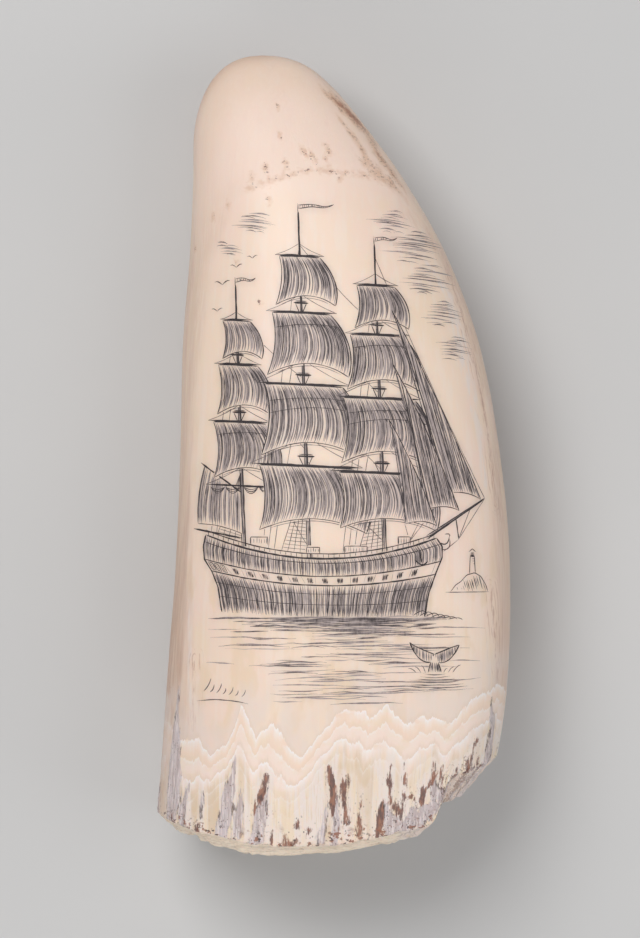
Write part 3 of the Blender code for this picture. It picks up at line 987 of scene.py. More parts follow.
def draw_spanker(picture):
    """The gaff sail behind the mizzen mast, its gaff and its boom."""
    throat, peak, clew, tack = (-17.7, 4.6), (-24.8, 9.8), (-26.2, -1.6), (-17.3, -3.6)
    foot, leech = bend(clew, tack, (0, 0.5)), bend(peak, clew, (-0.5, 0))
    patch = Patch(bend(peak, throat), foot, leech, bend(throat, tack))
    picture.lines((((-25.6, 10.4), (-17.6, 4.6)), ((-27.0, -2.6), (-17.3, -4.4))), BOLD, 0.95, 1.0)
    picture.lines((patch.left, patch.bottom, patch.right), THIN)
    picture.hatch(patch, 0.43, 0.31, SAIL_WASH, 0.05)
    picture.hatch(patch, 0.65, 0.16, SAIL_GRAIN, 0.25)
    picture.shield(patch.outline())


def draw_rigging(picture, deck):
    """Stays between the masts and to the bowsprit, and backstays from each mast down to the rail."""
    stays = (
        ((8.7, 51.0), BOWSPRIT_END, 0.5), ((-6.2, 53.5), (9.2, 37.0), 0.5), ((-5.8, 40.5), (9.6, 24.0), 0.5),
        ((-5.2, 26.0), (10.0, 9.0), 0.4), ((-4.8, 11.0), (10.4, -5.0), 0.4),
        ((-18.5, 39.0), (-5.4, 27.0), 0.4), ((-18.2, 30.0), (-4.9, 13.0), 0.4),
        ((-17.6, 18.0), (-4.4, -6.0), 0.4),
    )
    picture.lines([bend(top, foot, (-sag * 0.4, -sag)) for top, foot, sag in stays], HAIR, ROPE)
    backstays = (
        (FORE_MAST, (46.5, 37.0, 24.0), 8.0), (MAIN_MAST, (53.0, 41.0, 27.0), 8.6),
        (MIZZEN_MAST, (40.0, 30.5), 6.2),
    )
    for mast, heights, reach in backstays:
        for i, y in enumerate(heights):
            foot = deck(mast_x(mast, 0.0) - reach + 1.1 * i)
            picture.stroke(bend((mast_x(mast, y), y), foot, (-0.3, 0)), HAIR, ROPE)


def draw_pennants(picture):
    """A narrow waving pennant at the top of each mast."""
    t = np.linspace(0, 1, 15)
    wave = 0.45 * np.sin(6.5 * t) * t
    for mast, length in ((MAIN_MAST, 7.0), (FORE_MAST, 4.6), (MIZZEN_MAST, 4.0)):
        tx, ty = mast[1]
        top = np.stack((tx + length * t, ty + 1.3 + wave), -1)
        bottom = np.stack((tx + length * t, ty + 0.55 + wave + 0.7 * t), -1)
        picture.lines((top, bottom), THIN)
        pennant = Patch(top, bottom, bend(top[0], bottom[0]), bend(top[-1], bottom[-1]))
        picture.hatch(pennant, 0.4, THIN, SAIL_GRAIN)


def draw_ship():
    """The ship, from what lies in front to what lies behind."""
    picture = Picture(4)
    hull = hull_patch()
    draw_hull(picture, hull)

    def deck(x):
        share = np.interp(x, hull.top[:, 0], np.linspace(0, 1, len(hull.top)))
        return along(hull.top, [share])[0] + (0.0, RAIL_HEIGHT)

    draw_bow(picture)
    draw_jibs(picture)
    draw_pennants(picture)
    for mast, reefs in ((FORE_MAST, (0, 1, 2, 0)), (MAIN_MAST, (0, 1, 2, 0)), (MIZZEN_MAST, (0, 0, 1))):
        for row, bands in zip(mast[2], reefs):
            patch = sail_patch(mast, row)
            draw_yard(picture, mast, row[0], row[1])
            draw_sail(picture, patch, bands)
            picture.shield(patch.outline())
        if mast is MIZZEN_MAST:
            draw_yard(picture, mast, 5.6, 6.4, furled=True)
            draw_spanker(picture)
        draw_mast(picture, mast)
        draw_shrouds(picture, mast, deck)
    draw_rigging(picture, deck)
    return picture


def draw_flukes(picture):
    """A diving whale's tail, standing out of the sea at the right."""
    centre = np.array((20.4, -30.4))
    left_top = bend((0.0, 3.2), (-4.9, 5.6), (-1.2, 0.35)) + centre
    left_low = bend((-4.9, 5.6), (-0.75, 1.7), (-0.2, -1.15)) + centre
    right_top = bend((0.0, 3.2), (4.9, 5.0), (1.3, 0.55)) + centre
    right_low = bend((4.9, 5.0), (0.75, 1.6), (0.1, -1.1)) + centre
    stem = np.array(((-0.75, 1.7), (-1.25, -0.3), (1.35, -0.3), (0.75, 1.6))) + centre
    picture.lines((left_top, left_low, right_top, right_low, stem[:2], stem[2:]), 0.22, 0.95, 0.3)
    for side in (np.concatenate((left_top, left_low)), np.concatenate((right_top, right_low)), stem):
        picture.shade(side, 1.62, 0.40, 0.30, HULL_WASH, 0.1)
        picture.shade(side, 1.57, 0.55, 0.17, HULL_GRAIN, 0.3)
    picture.shield(np.concatenate((left_top[::-1], right_top, right_low, stem[::-1], left_low[::-1])))
    for i in range(9):
        x = -3.6 + 0.9 * i
        drop = bend(centre + (x, -0.4), centre + (x * 1.45, 0.5 + 0.3 * (i % 3)), (0, 0.3))
        picture.stroke(drop, 0.14, 0.6, 0.4)
    for i in range(6):
        half = 2.2 + 0.75 * i
        here = centre + (0.15 * i, -0.6 - 0.5 * i)
        picture.stroke(bend(here - (half, 0), here + (half, 0), (0, -0.25)), 0.16, 0.6, 2.0, 0.05)


def draw_headland(picture):
    """A low hill with a small light tower on the horizon, beyond the bow."""
    hill = (
        (23.6, -14.9), (24.6, -13.6), (25.6, -12.9), (26.8, -11.6), (28.4, -11.2), (29.6, -12.0),
        (30.6, -13.6), (31.0, -14.9),
    )
    picture.stroke(hill, THIN, 0.8)
    picture.stroke(((22.6, -15.0), (31.2, -15.0)), THIN, 0.7, 1.0)
    picture.shade(hill, -1.3, 0.42, 0.17, SAIL_GRAIN, 1.2)
    tower = np.array(((27.3, -11.4), (27.5, -8.0), (28.3, -8.0), (28.5, -11.3)))
    picture.stroke(tower, THIN, 0.9, 0.1)
    picture.shade(tower[1:] + (0.1, 0), 0.05, 0.5, HAIR, SAIL_GRAIN, 0.1)
    picture.shade(((27.45, -8.0), (27.55, -7.2), (28.25, -7.2), (28.35, -8.0)), 0.0, 0.2, 0.2, BLACK, 0.0)
    picture.stroke(((27.2, -7.1), (27.9, -6.5), (28.6, -7.1)), THIN, 0.9, 0.2)


def draw_sea():
    """The sea: long flat strokes, closest under the hull, the bow wave, a whale's flukes and a headland."""
    picture = Picture(9)
    draw_flukes(picture)
    draw_headland(picture)
    rng = picture.random
    for curl in range(7):
        x, rise = 17.2 + 1.15 * curl, 1.9 - 0.22 * curl
        a, b = (x - 1.0, -19.6 - 0.12 * curl), (x + 1.9, -19.9 - 0.1 * curl)
        picture.stroke(bend(a, b, (0.5, rise * 0.6)), THIN, 0.75)
    for _ in range(150):
        depth = rng.random() ** 1.5
        y = -20.0 - 17.0 * depth
        half = rng.uniform(2.0, 10.0)
        middle = rng.gauss(3.0, 9.5 + 4.0 * depth)
        left = rng.uniform(-13.5, -8.0) if y < -29.5 else rng.uniform(-27.0, -22.0)
        a, b = max(middle - half, left), min(middle + half, rng.uniform(27.0, 31.0))
        if b - a > 2.5:
            end = y + rng.uniform(-0.03, 0.03) * (b - a)
            path = bend((a, y), (b, end), (0, rng.uniform(-0.30, 0.40)))
            picture.stroke(path, rng.uniform(0.12, 0.27), rng.uniform(0.10, 0.60), 5.0, 0.10)
    for _ in range(85):
        x, y = rng.gauss(1.0, 9.5), -20.0 - abs(rng.gauss(0, 1.5))
        half = rng.uniform(0.8, 3.2)
        if -21.5 < x < 21:
            path = ((x - half, y), (x + half, y + 0.1))
            picture.stroke(path, rng.uniform(0.16, 0.30), rng.uniform(0.3, 0.8), 1.5)
    return picture


def draw_sky():
    """Long flat clouds at the upper right and left, and gulls over the stern."""
    picture = Picture(12)
    rng = picture.random
    clouds = (
        (12.0, 57.6, 8.0, 8), (16.4, 52.6, 10.0, 11), (19.2, 46.2, 9.4, 10), (22.4, 39.4, 8.0, 9),
        (24.6, 32.6, 6.0, 8), (-15.0, 57.4, 7.4, 7), (-20.6, 52.4, 5.0, 5),
    )
    for cx, cy, length, rows in clouds:
        for i in range(2 * rows):
            row = i // 2
            lens = math.sin(math.pi * (row + 0.7) / (rows + 0.4))
            half = length / 2 * (0.3 + 0.7 * lens) * rng.uniform(0.45, 1.05)
            x = cx + rng.uniform(-0.22, 0.22) * length
            y = cy + 0.58 * (rows / 2 - row) + rng.uniform(-0.15, 0.15)
            path = bend((x - half, y + 0.12 * half), (x + half, y - 0.12 * half), (0, 0.25))
            picture.stroke(path, rng.uniform(0.12, 0.22), rng.uniform(0.15, 0.60), 2.5, 0.05)
    for x, y, size in ((-21.4, 45.6, 1.5), (-18.6, 49.0, 1.2), (-22.4, 40.4, 1.1), (-15.4, 50.8, 1.0)):
        for side, lift in ((-1, 0.5), (1, 0.75)):
            tip = (x + side * size, y + lift * size * 0.75)
            picture.stroke(bend((x, y), tip, (0.1 * side, 0.24 * size)), 0.22, 0.85, 0.7)
    return picture


def draw_marks():
    """A short row of slanting strokes with a line under it, low on the left."""
    picture = Picture(15)
    for i, tall in enumerate((2.6, 1.5, 1.9, 1.2, 1.6, 1.1, 1.4)):
        x, y = -25.0 + 1.25 * i, -34.6 - 0.16 * i
        picture.stroke(bend((x, y), (x + 0.55 * tall, y + tall), (0.18, -0.1)), 0.20, 0.6, 0.5)
    picture.stroke(bend((-26.4, -36.6), (-16.2, -36.9), (0, 0.5)), 0.22, 0.6, 2.5, 0.05)
    return picture


def lay_ink(name, picture, tree, ink):
    """Makes a picture's strokes as thin ribbons that lie on the tooth's surface, the darker ones on top."""
    points, faces, tones, texture = [], [], [], []
    down = Vector((0, 0, -1))
    strokes = sorted(picture.strokes, key=lambda stroke: stroke[3])
    cells = math.ceil(math.sqrt(len(strokes)))
    for number, (places, widths, sides, tone) in enumerate(strokes):
        column, row = divmod(number, cells)
        strip = []
        for step, (place, width, side) in enumerate(zip(places, widths, sides)):
            u = (column + 0.1 + 0.8 * step / len(places)) / cells
            for half, v in ((width / 2, 0.9), (-width / 2, 0.1)):
                x, y = (place + side * half) * MM
                hit, normal, _, _ = tree.ray_cast(Vector((float(x), float(y), high.z * 2)), down)
                if hit is None:
                    strip.append(None)
                    continue
                normal = normal if normal.z > 0 else -normal
                strip.append(len(points))
                points.append(tuple(hit + normal * INK_LIFT * (1 + tone)))
                tones.append(tone)
                texture.append((u, (row + v) / cells))
        for i in range(0, len(strip) - 2, 2):
            quad = (strip[i], strip[i + 1], strip[i + 3], strip[i + 2])
            if None not in quad:
                faces.append(quad)
    make_piece(name, points, faces, {"tone": tones}, np.array(texture)[np.array(faces).ravel()], [ink])


# The grid in which rubbed-in ink is gathered: its cells in mm, and how many there are each way
SMUDGE_CELL = 0.5
SMUDGE_SIZE = 340


def smudge_cells(places):
    """The cells in which places in mm lie."""
    cells = ((places + SMUDGE_SIZE * SMUDGE_CELL / 2) / SMUDGE_CELL).astype(int)
    return tuple(np.clip(cells, 0, SMUDGE_SIZE - 1).T)


def rub_in_ink(tooth, pictures):
    """Marks on the tooth how much ink was rubbed in around each place."""
    grid = np.zeros((SMUDGE_SIZE, SMUDGE_SIZE))
    for picture in pictures:
        for places, widths, _, tone in picture.strokes:
            np.add.at(grid, smudge_cells(places), widths * tone * STROKE_STEP / SMUDGE_CELL**2)
    kernel = np.exp(-np.arange(-3, 4) ** 2 / 2.5)
    kernel /= kernel.sum()
    for axis in (0, 1):
        grid = np.apply_along_axis(np.convolve, axis, grid, kernel, "same")
    points = np.empty(len(tooth.data.vertices) * 3, np.float32)
    tooth.data.vertices.foreach_get("co", points)
    points = points.reshape(-1, 3) / MM
    values = np.clip(grid[smudge_cells(points[:, :2])] * 1.8, 0, 1) * (points[:, 2] > 0.6 * high.z / MM)
    tooth.data.attributes.new("smudge", "FLOAT", "POINT").data.foreach_set("value", values.astype(np.float32))


def engrave(tooth):
    """Draws the four pictures and lays their ink on the tooth."""
    pictures = {
        "engraved_ship": draw_ship(),
        "engraved_sea": draw_sea(),
        "engraved_sky": draw_sky(),
        "engraved_marks": draw_marks(),
    }
    points = [tuple(vertex.co) for vertex in tooth.data.vertices]
    tree = BVHTree.FromPolygons(points, [tuple(polygon.vertices) for polygon in tooth.data.polygons])
    ink = ink_material()
    for name, picture in pictures.items():
        lay_ink(name, picture, tree, ink)
    rub_in_ink(tooth, pictures.values())


# Materials

class Graph:
    """A material's nodes, with a short call for each kind that the materials below use."""

    def __init__(self, name):
        self.material = bpy.data.materials.new(name)
        self.material.use_nodes = True
        self.tree = self.material.node_tree
        self.shader = self.tree.nodes["Principled BSDF"]
        self.place = self.node("TexCoord", "Object", {})

    def put(self, value, socket):
        """Links a node's output to a socket, or sets the socket to a number, a colour or a vector."""
        if isinstance(value, bpy.types.NodeSocket):
            self.tree.links.new(value, socket)
        elif socket.type == "RGBA":
            socket.default_value = (*value, 1)
        else:
            socket.default_value = value

    def node(self, kind, output, inputs, **settings):
        """One output of a new node of a kind, with its inputs filled."""
        node = self.tree.nodes.new("ShaderNode" + kind)
        for name, value in settings.items():
            setattr(node, name, value)
        for name, value in inputs.items():
            self.put(value, node.inputs[name])
        return node.outputs[output]

    def attribute(self, name):
        return self.node("Attribute", "Fac", {}, attribute_name=name)

    def place_in_mm(self):
        axes = self.node("SeparateXYZ", 0, {0: self.place}).node.outputs
        return [self.math("DIVIDE", axis, MM) for axis in axes]

    def math(self, operation, a, b=0.0):
        return self.node("Math", 0, {0: a, 1: b}, operation=operation)

    def add(self, *values):
        total = values[0]
        for value in values[1:]:
            total = self.math("ADD", total, value)
        return total

    def times(self, *values):
        product = values[0]
        for value in values[1:]:
            product = self.math("MULTIPLY", product, value)
        return product

    def stretched(self, size):
        """The place in the object, measured in features of a size in mm, or of one size for each axis."""
        size = size if isinstance(size, tuple) else (size,) * 3
        scale = tuple(1 / (s * MM) for s in size)
        return self.node("VectorMath", 0, {0: self.place, 1: scale}, operation="MULTIPLY")

    def noise(self, size, detail=2.0, roughness=0.5):
        """Noise about 0.5, with features of a size in mm, or of one size for each axis."""
        inputs = {"Vector": self.stretched(size), "Scale": 1.0, "Detail": detail, "Roughness": roughness}
        return self.node("TexNoise", "Fac", inputs)

    def swing(self, size, reach, detail=2.0, roughness=0.5):
        """Noise about 0 that stays within a reach to either side."""
        return self.times(self.add(self.noise(size, detail, roughness), -0.5), 2 * reach)

    def cells(self, size, feature="F1"):
        """The distance to the nearest of scattered points, or to a wall between their cells, in spacings."""
        inputs = {"Vector": self.stretched(size), "Scale": 1.0}
        return self.node("TexVoronoi", "Distance", inputs, feature=feature)

    def step(self, value, start, end):
        """0 at start, 1 at end and a smooth slope between, whichever of the two is greater."""
        inputs = {"Value": value, "From Min": start, "From Max": end}
        return self.node("MapRange", "Result", inputs, interpolation_type="SMOOTHSTEP")

    def patches(self, size, start, end, detail=2.0, roughness=0.5):
        """Soft patches: 0 where noise of a size is below start, and 1 where it is above end."""
        return self.step(self.noise(size, detail, roughness), start, end)

    def band(self, value, start, full, fading, end):
        """0 up to start, 1 from full to fading, and 0 again from end on."""
        return self.times(self.step(value, start, full), self.step(value, end, fading))

    def stairs(self, value, start, heights):
        """One height for each whole step of a value, from a start on."""
        along_stairs = self.times(self.add(value, -start), 1 / len(heights))
        output = self.node("ValToRGB", "Color", {"Fac": along_stairs})
        ramp = output.node.color_ramp
        ramp.interpolation = "CONSTANT"
        for i, height in enumerate(heights):
            element = ramp.elements[i] if i < 2 else ramp.elements.new(i / len(heights))
            element.position = i / len(heights)
            element.color = (height, height, height, 1)
        return output

    def mix(self, share, a, b):
        return self.node("Mix", 2, {"Factor": share, 6: a, 7: b}, data_type="RGBA")

    def over(self, colour, new, *shares):
        """A colour with a new one laid over it, as much as the shares' product says."""
        return self.mix(self.times(*shares), colour, new)

    def bump(self, height, distance, strength, before=None):
        inputs = {"Strength": strength, "Distance": distance, "Height": height}
        if before is not None:
            inputs["Normal"] = before
        return self.node("Bump", "Normal", inputs)

    def set(self, **sockets):
        """Fills inputs of the shader, whose names are written with _ for each space."""
        for name, value in sockets.items():
            self.put(value, self.shader.inputs[name.replace("_", " ")])


# Colours of the ivory
FACE_WARM = (0.93, 0.735, 0.590)
FACE_PINK = (0.93, 0.715, 0.605)
FACE_YELLOW = (0.90, 0.720, 0.545)
FACE_TAN = (0.86, 0.660, 0.475)
FACE_PALE = (0.92, 0.785, 0.690)
TIP_CREAM = (0.90, 0.700, 0.575)
TIP_PAINTED_HIGHLIGHT = (0.97, 0.765, 0.665)
TIP_TAN = (0.69, 0.440, 0.290)
TIP_BROWN = (0.40, 0.165, 0.100)
SIDE_CREAM = (0.77, 0.590, 0.450)
SIDE_PINK = (0.73, 0.520, 0.420)
SIDE_BROWN = (0.49, 0.310, 0.210)
PAINTED_REFLECTION_LILAC = (0.86, 0.765, 0.725)
LINE_RED = (0.50, 0.275, 0.205)
BAND_PEACH = (0.94, 0.735, 0.600)
BAND_PINK = (0.95, 0.765, 0.665)
GROWTH_WHITE = (0.97, 0.890, 0.860)
GROWTH_SHADE = (0.78, 0.620, 0.510)
ABOVE_GREY = (0.83, 0.710, 0.645)
ROOT_CREAM = (0.90, 0.735, 0.560)
ROOT_WHITE = (0.88, 0.765, 0.700)
ROOT_BEIGE = (0.76, 0.590, 0.425)
FLAME_GREY = (0.520, 0.430, 0.430)
FLAME_LILAC = (0.630, 0.545, 0.560)
FLAME_PALE = (0.830, 0.735, 0.720)
FLAME_DARK = (0.110, 0.075, 0.070)
STAIN_RUST = (0.330, 0.140, 0.085)
# The darkest stain colour, also used for the painted shadow round the grey flames
STAIN_BROWN = (0.165, 0.075, 0.062)
STAIN_AND_SHADOW_DARK = (0.070, 0.038, 0.035)
RIM_CREAM = (0.90, 0.760, 0.610)
RIM_SHADE = (0.62, 0.490, 0.370)
RIM_DIRT = (0.220, 0.150, 0.110)
CAVITY_TAN = (0.66, 0.52, 0.38)
CAVITY_BROWN = (0.50, 0.36, 0.25)
CAVITY_DIRT = (0.24, 0.155, 0.105)
INK_HAZE = (0.400, 0.325, 0.310)
INK_PALE = (0.470, 0.390, 0.375)
INK_DARK = (0.045, 0.036, 0.038)

# How strong the growth lines are, one for each line from two above the upper line
LINE_STRENGTHS = (0.0, 0.30, 1.0, 0.55, 1.0, 0.30, 0.12, 0.0)


def face_colour(g, marks, x, y, z):
    """The polished face, with soft clouds and faint streaks, and the darker layer to both sides of it."""
    ivory = g.mix(g.patches((17, 30, 17), 0.38, 0.62, 3), FACE_WARM, FACE_PINK)
    ivory = g.over(ivory, FACE_YELLOW, g.patches((9, 16, 9), 0.50, 0.72), 0.75)
    ivory = g.over(ivory, FACE_PALE, g.patches((1.3, 38, 1.3), 0.46, 0.66), 0.35)
    low_face = g.times(g.step(y, 4, -14), g.step(y, -52, -38))
    ivory = g.over(ivory, FACE_TAN, low_face, g.patches((3.4, 9, 3.4), 0.50, 0.66, 3), 0.65)
    ivory = g.over(ivory, TIP_CREAM, g.step(y, 58, 74), 0.6)
    # Painted highlight on the highest part of the tip, and painted shade in brown and tan lower down its
    # sides, most at its left edge
    ivory = g.over(ivory, TIP_PAINTED_HIGHLIGHT, g.step(y, 60, 70), g.step(z, 27.5, 32), 0.75)
    ivory = g.over(ivory, TIP_BROWN, g.step(y, 66, 84), g.step(z, 25, 18), 0.30)
    ivory = g.over(ivory, TIP_TAN, g.step(y, 80, 88), g.step(z, 28, 21), g.step(x, -9, -15), 0.45)

    streak = g.noise((2.0, 34, 2.0), 4, 0.6)
    fine_streak = g.noise((0.5, 16, 0.5), 3, 0.6)
    side = g.mix(g.step(streak, 0.36, 0.64), SIDE_CREAM, SIDE_PINK)
    side = g.over(side, SIDE_BROWN, g.step(streak, 0.52, 0.70), g.step(fine_streak, 0.44, 0.62), 0.6)
    side = g.over(side, FACE_PALE, g.step(fine_streak, 0.50, 0.36), 0.35)
    # Painted shade: the side darkens in brown towards the lower left, and at the left edge in reddish streaks
    painted_shade_low_left = g.times(g.step(x, -20, -29), g.step(y, 30, -25))
    side = g.over(side, SIDE_BROWN, painted_shade_low_left, g.add(g.times(g.step(streak, 0.40, 0.58), 0.4), 0.3))
    painted_shade_left_edge = g.times(g.step(x, -28, -32), g.step(y, 10, -40))
    side = g.over(side, LINE_RED, painted_shade_left_edge, g.step(fine_streak, 0.42, 0.58), 0.5)
    edge = g.add(marks["face"], g.swing((3, 9, 3), 1.2), g.swing((0.8, 12, 0.8), 0.7))
    off_face = g.step(edge, 1.4, -2.4)
    return g.over(ivory, side, off_face, g.add(g.times(g.step(y, 68, 44), 0.70), 0.12)), off_face


def tip_marks(g, marks, colour):
    """Brown stains, fine pits, thin reddish lines and pale painted reflection at the tip and along the sides.
    """
    # Pale streaks of painted reflection along the edges of the polished face
    pale = g.step(g.add(marks["pale"], g.swing((0.8, 7, 0.8), 0.9)), -0.5, 0.7)
    colour = g.over(colour, PAINTED_REFLECTION_LILAC, pale, g.patches((0.9, 7, 0.9), 0.36, 0.58, 3), 0.6)
    beside = g.add(marks["line"], g.swing((1.2, 9.0, 1.2), 0.8, 3, 0.6))
    comb = g.band(g.math("FRACT", g.add(g.times(beside, 1.15), 8.1)), 0.30, 0.50, 0.55, 0.80)
    broken = g.patches((1.4, 6.0, 1.4), 0.44, 0.60, 3, 0.6)
    colour = g.over(colour, LINE_RED, g.step(beside, -3.0, -0.6), comb, broken, 0.50)
    line = g.step(g.add(marks["line"], g.swing((0.5, 2.6, 0.5), 1.1, 3, 0.7)), -0.25, 0.40)
    colour = g.over(colour, LINE_RED, line, 0.60)
    stain = g.add(marks["stain"], g.swing((1.8, 3.0, 1.8), 1.6, 3, 0.6))
    colour = g.over(colour, TIP_TAN, g.step(stain, -1.9, 0.8), 0.65)
    heart = g.step(g.add(stain, g.swing((0.8, 1.3, 0.8), 1.5, 3, 0.7)), 0.3, 2.2)
    colour = g.over(colour, TIP_BROWN, heart, 0.80)
    halo = g.step(g.add(marks["pits"], g.swing((1.2, 1.0, 1.2), 1.6)), -0.9, 0.9)
    colour = g.over(colour, TIP_TAN, halo, 0.55)
    pitted = g.step(g.add(marks["pits"], g.swing((1.4, 1.0, 1.4), 1.3)), -0.10, 0.30)
    stained = g.times(g.step(marks["stain"], -1.2, 0.2), 0.5)
    speck = g.patches((0.62, 0.44, 0.62), 0.53, 0.62, 2, 0.7)
    return g.over(colour, STAIN_BROWN, speck, g.math("MAXIMUM", pitted, stained), 0.85)


def growth_colour(g, marks, colour):
    """Ragged bands with white upper edges across the root, and pale columns along it below them."""
    level = g.times(g.add(marks["growth"], g.swing((0.55, 3.4, 0.55), 0.16, 3, 0.7)), 2.0)
    share = g.math("FRACT", g.add(level, 8.0))
    band = g.mix(g.step(level, 0.9, 1.6), BAND_PEACH, BAND_PINK)
    band = g.over(band, ROOT_CREAM, g.patches((4.2, 2.2, 4.2), 0.50, 0.66), 0.5)
    streak = g.noise((1.5, 50, 1.5), 3, 0.6)
    column = g.mix(g.step(streak, 0.42, 0.58), ROOT_CREAM, ROOT_WHITE)
    column = g.over(column, ROOT_BEIGE, g.patches((2.4, 40, 2.4), 0.48, 0.60), 0.8)
    column = g.over(column, ROOT_BEIGE, g.patches((0.28, 9, 0.28), 0.54, 0.68), 0.45)
    root = g.mix(g.step(g.add(level, g.swing((1.5, 50, 1.5), 1.2)), 1.9, 3.2), band, column)
    shade = g.step(share, 0.60, 0.99)
    root = g.over(root, GROWTH_SHADE, shade, g.stairs(level, -3.0, LINE_STRENGTHS), 0.45)
    strength = g.times(g.stairs(level, -2.0, LINE_STRENGTHS), g.patches((2.6, 2.4, 2.6), 0.28, 0.52, 3))
    root = g.over(root, GROWTH_WHITE, g.band(share, 0.0, 0.05, 0.10, 0.75), strength, 0.55)
    root = g.over(root, GROWTH_WHITE, g.band(share, 0.0, 0.03, 0.05, 0.22), strength, 0.95)
    root = g.over(root, ROOT_WHITE, g.step(marks["brown"], -1.9, -0.3), g.step(streak, 0.34, 0.5), 0.6)
    above = g.times(g.step(level, -3.6, -0.9), g.patches((5.0, 8.0, 5.0), 0.34, 0.58))
    colour = g.over(colour, ABOVE_GREY, above, 0.60)
    colour = g.over(colour, GROWTH_SHADE, shade, g.step(level, -1.0, -0.6), 0.40)
    shown = g.add(g.times(g.step(marks["face"], -4.0, -1.5), 0.65), 0.35)
    return g.over(colour, root, shown, g.step(marks["rim"], -1.5, -4.0), g.step(level, -0.03, 0.03))


def flame_colour(g, marks, x, colour):
    """Grey flames with grain along the tooth, brown stains, and dark flecks and cracks near the rim."""
    rim, brown = marks["rim"], marks["brown"]
    ragged = g.add(g.swing((1.1, 7.0, 1.1), 0.8, 2), g.swing((0.28, 2.6, 0.28), 0.9, 3, 0.7))
    depth = g.add(marks["grey"], ragged)
    in_grey = g.step(depth, -0.12, 0.35)
    flame = g.mix(g.patches((1.6, 12, 1.6), 0.42, 0.60), FLAME_GREY, FLAME_LILAC)
    flame = g.over(flame, FLAME_PALE, g.patches((0.40, 5.5, 0.40), 0.44, 0.62, 4, 0.65), 0.85)
    flame = g.over(flame, FLAME_DARK, g.patches((0.24, 3.6, 0.24), 0.56, 0.70), 0.4)
    low_root = g.step(rim, -16, -4)
    speck_zone = g.step(g.add(g.noise((1.8, 3.4, 1.8)), g.times(low_root, 0.14)), 0.52, 0.66)
    flame = g.over(flame, FLAME_DARK, g.step(g.cells((0.42, 0.62, 0.42)), 0.30, 0.15), speck_zone, 0.8)
    colour = g.over(colour, flame, in_grey, 0.92)
    # Painted shadow: a dark thin edge round the sunken grey flames, in patches
    flame_edge_painted_shadow = g.band(depth, -0.16, 0.04, 0.12, 0.42)
    colour = g.over(colour, STAIN_AND_SHADOW_DARK, flame_edge_painted_shadow, g.patches((1.1, 3.0, 1.1), 0.52, 0.62), 0.75)

    in_brown = g.step(g.add(brown, ragged, g.swing((0.3, 0.8, 0.3), 0.5, 3, 0.7)), -0.10, 0.28)
    rust = g.mix(g.patches((0.9, 2.6, 0.9), 0.40, 0.58, 3), STAIN_RUST, STAIN_BROWN)
    rust = g.over(rust, STAIN_AND_SHADOW_DARK, g.patches((0.5, 1.6, 0.5), 0.54, 0.68, 3), 0.8)
    colour = g.over(colour, rust, in_brown, 0.92)
    round_stain = g.band(brown, -2.2, -0.4, -0.3, 0.2)
    few = g.step(g.cells((0.75, 1.0, 0.75)), 0.24, 0.12)
    colour = g.over(colour, STAIN_AND_SHADOW_DARK, round_stain, few, low_root, 0.75)

    row = g.times(g.step(g.add(rim, g.swing(3, 1.8)), -6.2, -4.0), g.step(rim, -0.9, -1.6))
    fleck = g.patches((0.95, 0.75, 0.95), 0.545, 0.60, 2, 0.6)
    fleck_zone = g.patches((2.6, 3.4, 2.6), 0.41, 0.49)
    fleck_tone = g.mix(g.patches(1.5, 0.46, 0.56, 1), STAIN_AND_SHADOW_DARK, STAIN_RUST)
    colour = g.over(colour, fleck_tone, row, fleck, fleck_zone, 0.9)
    rusty = g.times(g.step(rim, -8.0, -3.5), g.patches((2.6, 2.4, 2.6), 0.58, 0.72, 3))
    colour = g.over(colour, STAIN_RUST, rusty, 0.45)
    off_crack = g.math("ABSOLUTE", g.swing((2.2, 4.4, 2.2), 1.0, 3, 0.55))
    crack = g.times(g.step(off_crack, 0.030, 0.008), g.patches(2.4, 0.44, 0.54))
    cracked = g.times(g.step(x, 10, 18), g.band(rim, -13, -8, -1.5, 0.2))
    return g.over(colour, STAIN_BROWN, crack, cracked, 0.7), in_grey


def rim_colour(g, marks, x, z, colour):
    """The pale broken rim, with thin layers and a little dirt. The root's stains run on over its break."""
    on_rim = g.step(g.add(marks["rim"], g.swing((2.5, 1.4, 2.5), 1.0, 3)), -1.9, -1.2)
    rim = g.over(RIM_CREAM, RIM_SHADE, g.patches((7, 0.32, 0.9), 0.48, 0.62, 3, 0.6), 0.5)
    broken = g.times(g.step(x, 10, 17), g.patches(2.2, 0.36, 0.52, 3))
    chalky = g.mix(g.patches((0.7, 2.8, 0.7), 0.42, 0.62, 4, 0.65), FLAME_LILAC, FLAME_PALE)
    rim = g.over(rim, chalky, broken, 0.65)
    ring = g.math("FRACT", g.times(g.add(marks["rim"], g.swing(1.6, 0.16, 3)), 3.2))
    rim = g.over(rim, RIM_SHADE, g.step(ring, 0.70, 0.96), g.patches(3.0, 0.40, 0.56), 0.6)
    rim = g.over(rim, RIM_DIRT, g.patches((1.6, 0.8, 1.0), 0.58, 0.70, 4, 0.65), 0.5)
    wall = g.cells((3.4, 1.5, 2.2), "DISTANCE_TO_EDGE")
    crack = g.times(g.step(wall, 0.060, 0.015), g.patches(1.9, 0.46, 0.54))
    rim = g.over(rim, RIM_DIRT, crack, g.add(g.times(broken, 0.4), 0.12))
    stained = g.times(g.step(x, 13, 20), g.step(z, 12, 22), 0.60)
    return g.over(colour, rim, on_rim, g.add(0.95, g.times(stained, -1))), on_rim


def skin_of_ivory(g, subsurface):
    """The light that ivory scatters under its surface."""
    g.set(Subsurface_Weight=subsurface, Subsurface_Scale=1.0 * MM, Subsurface_Radius=(2.4, 1.3, 0.8))
    g.set(Specular_IOR_Level=0.5)


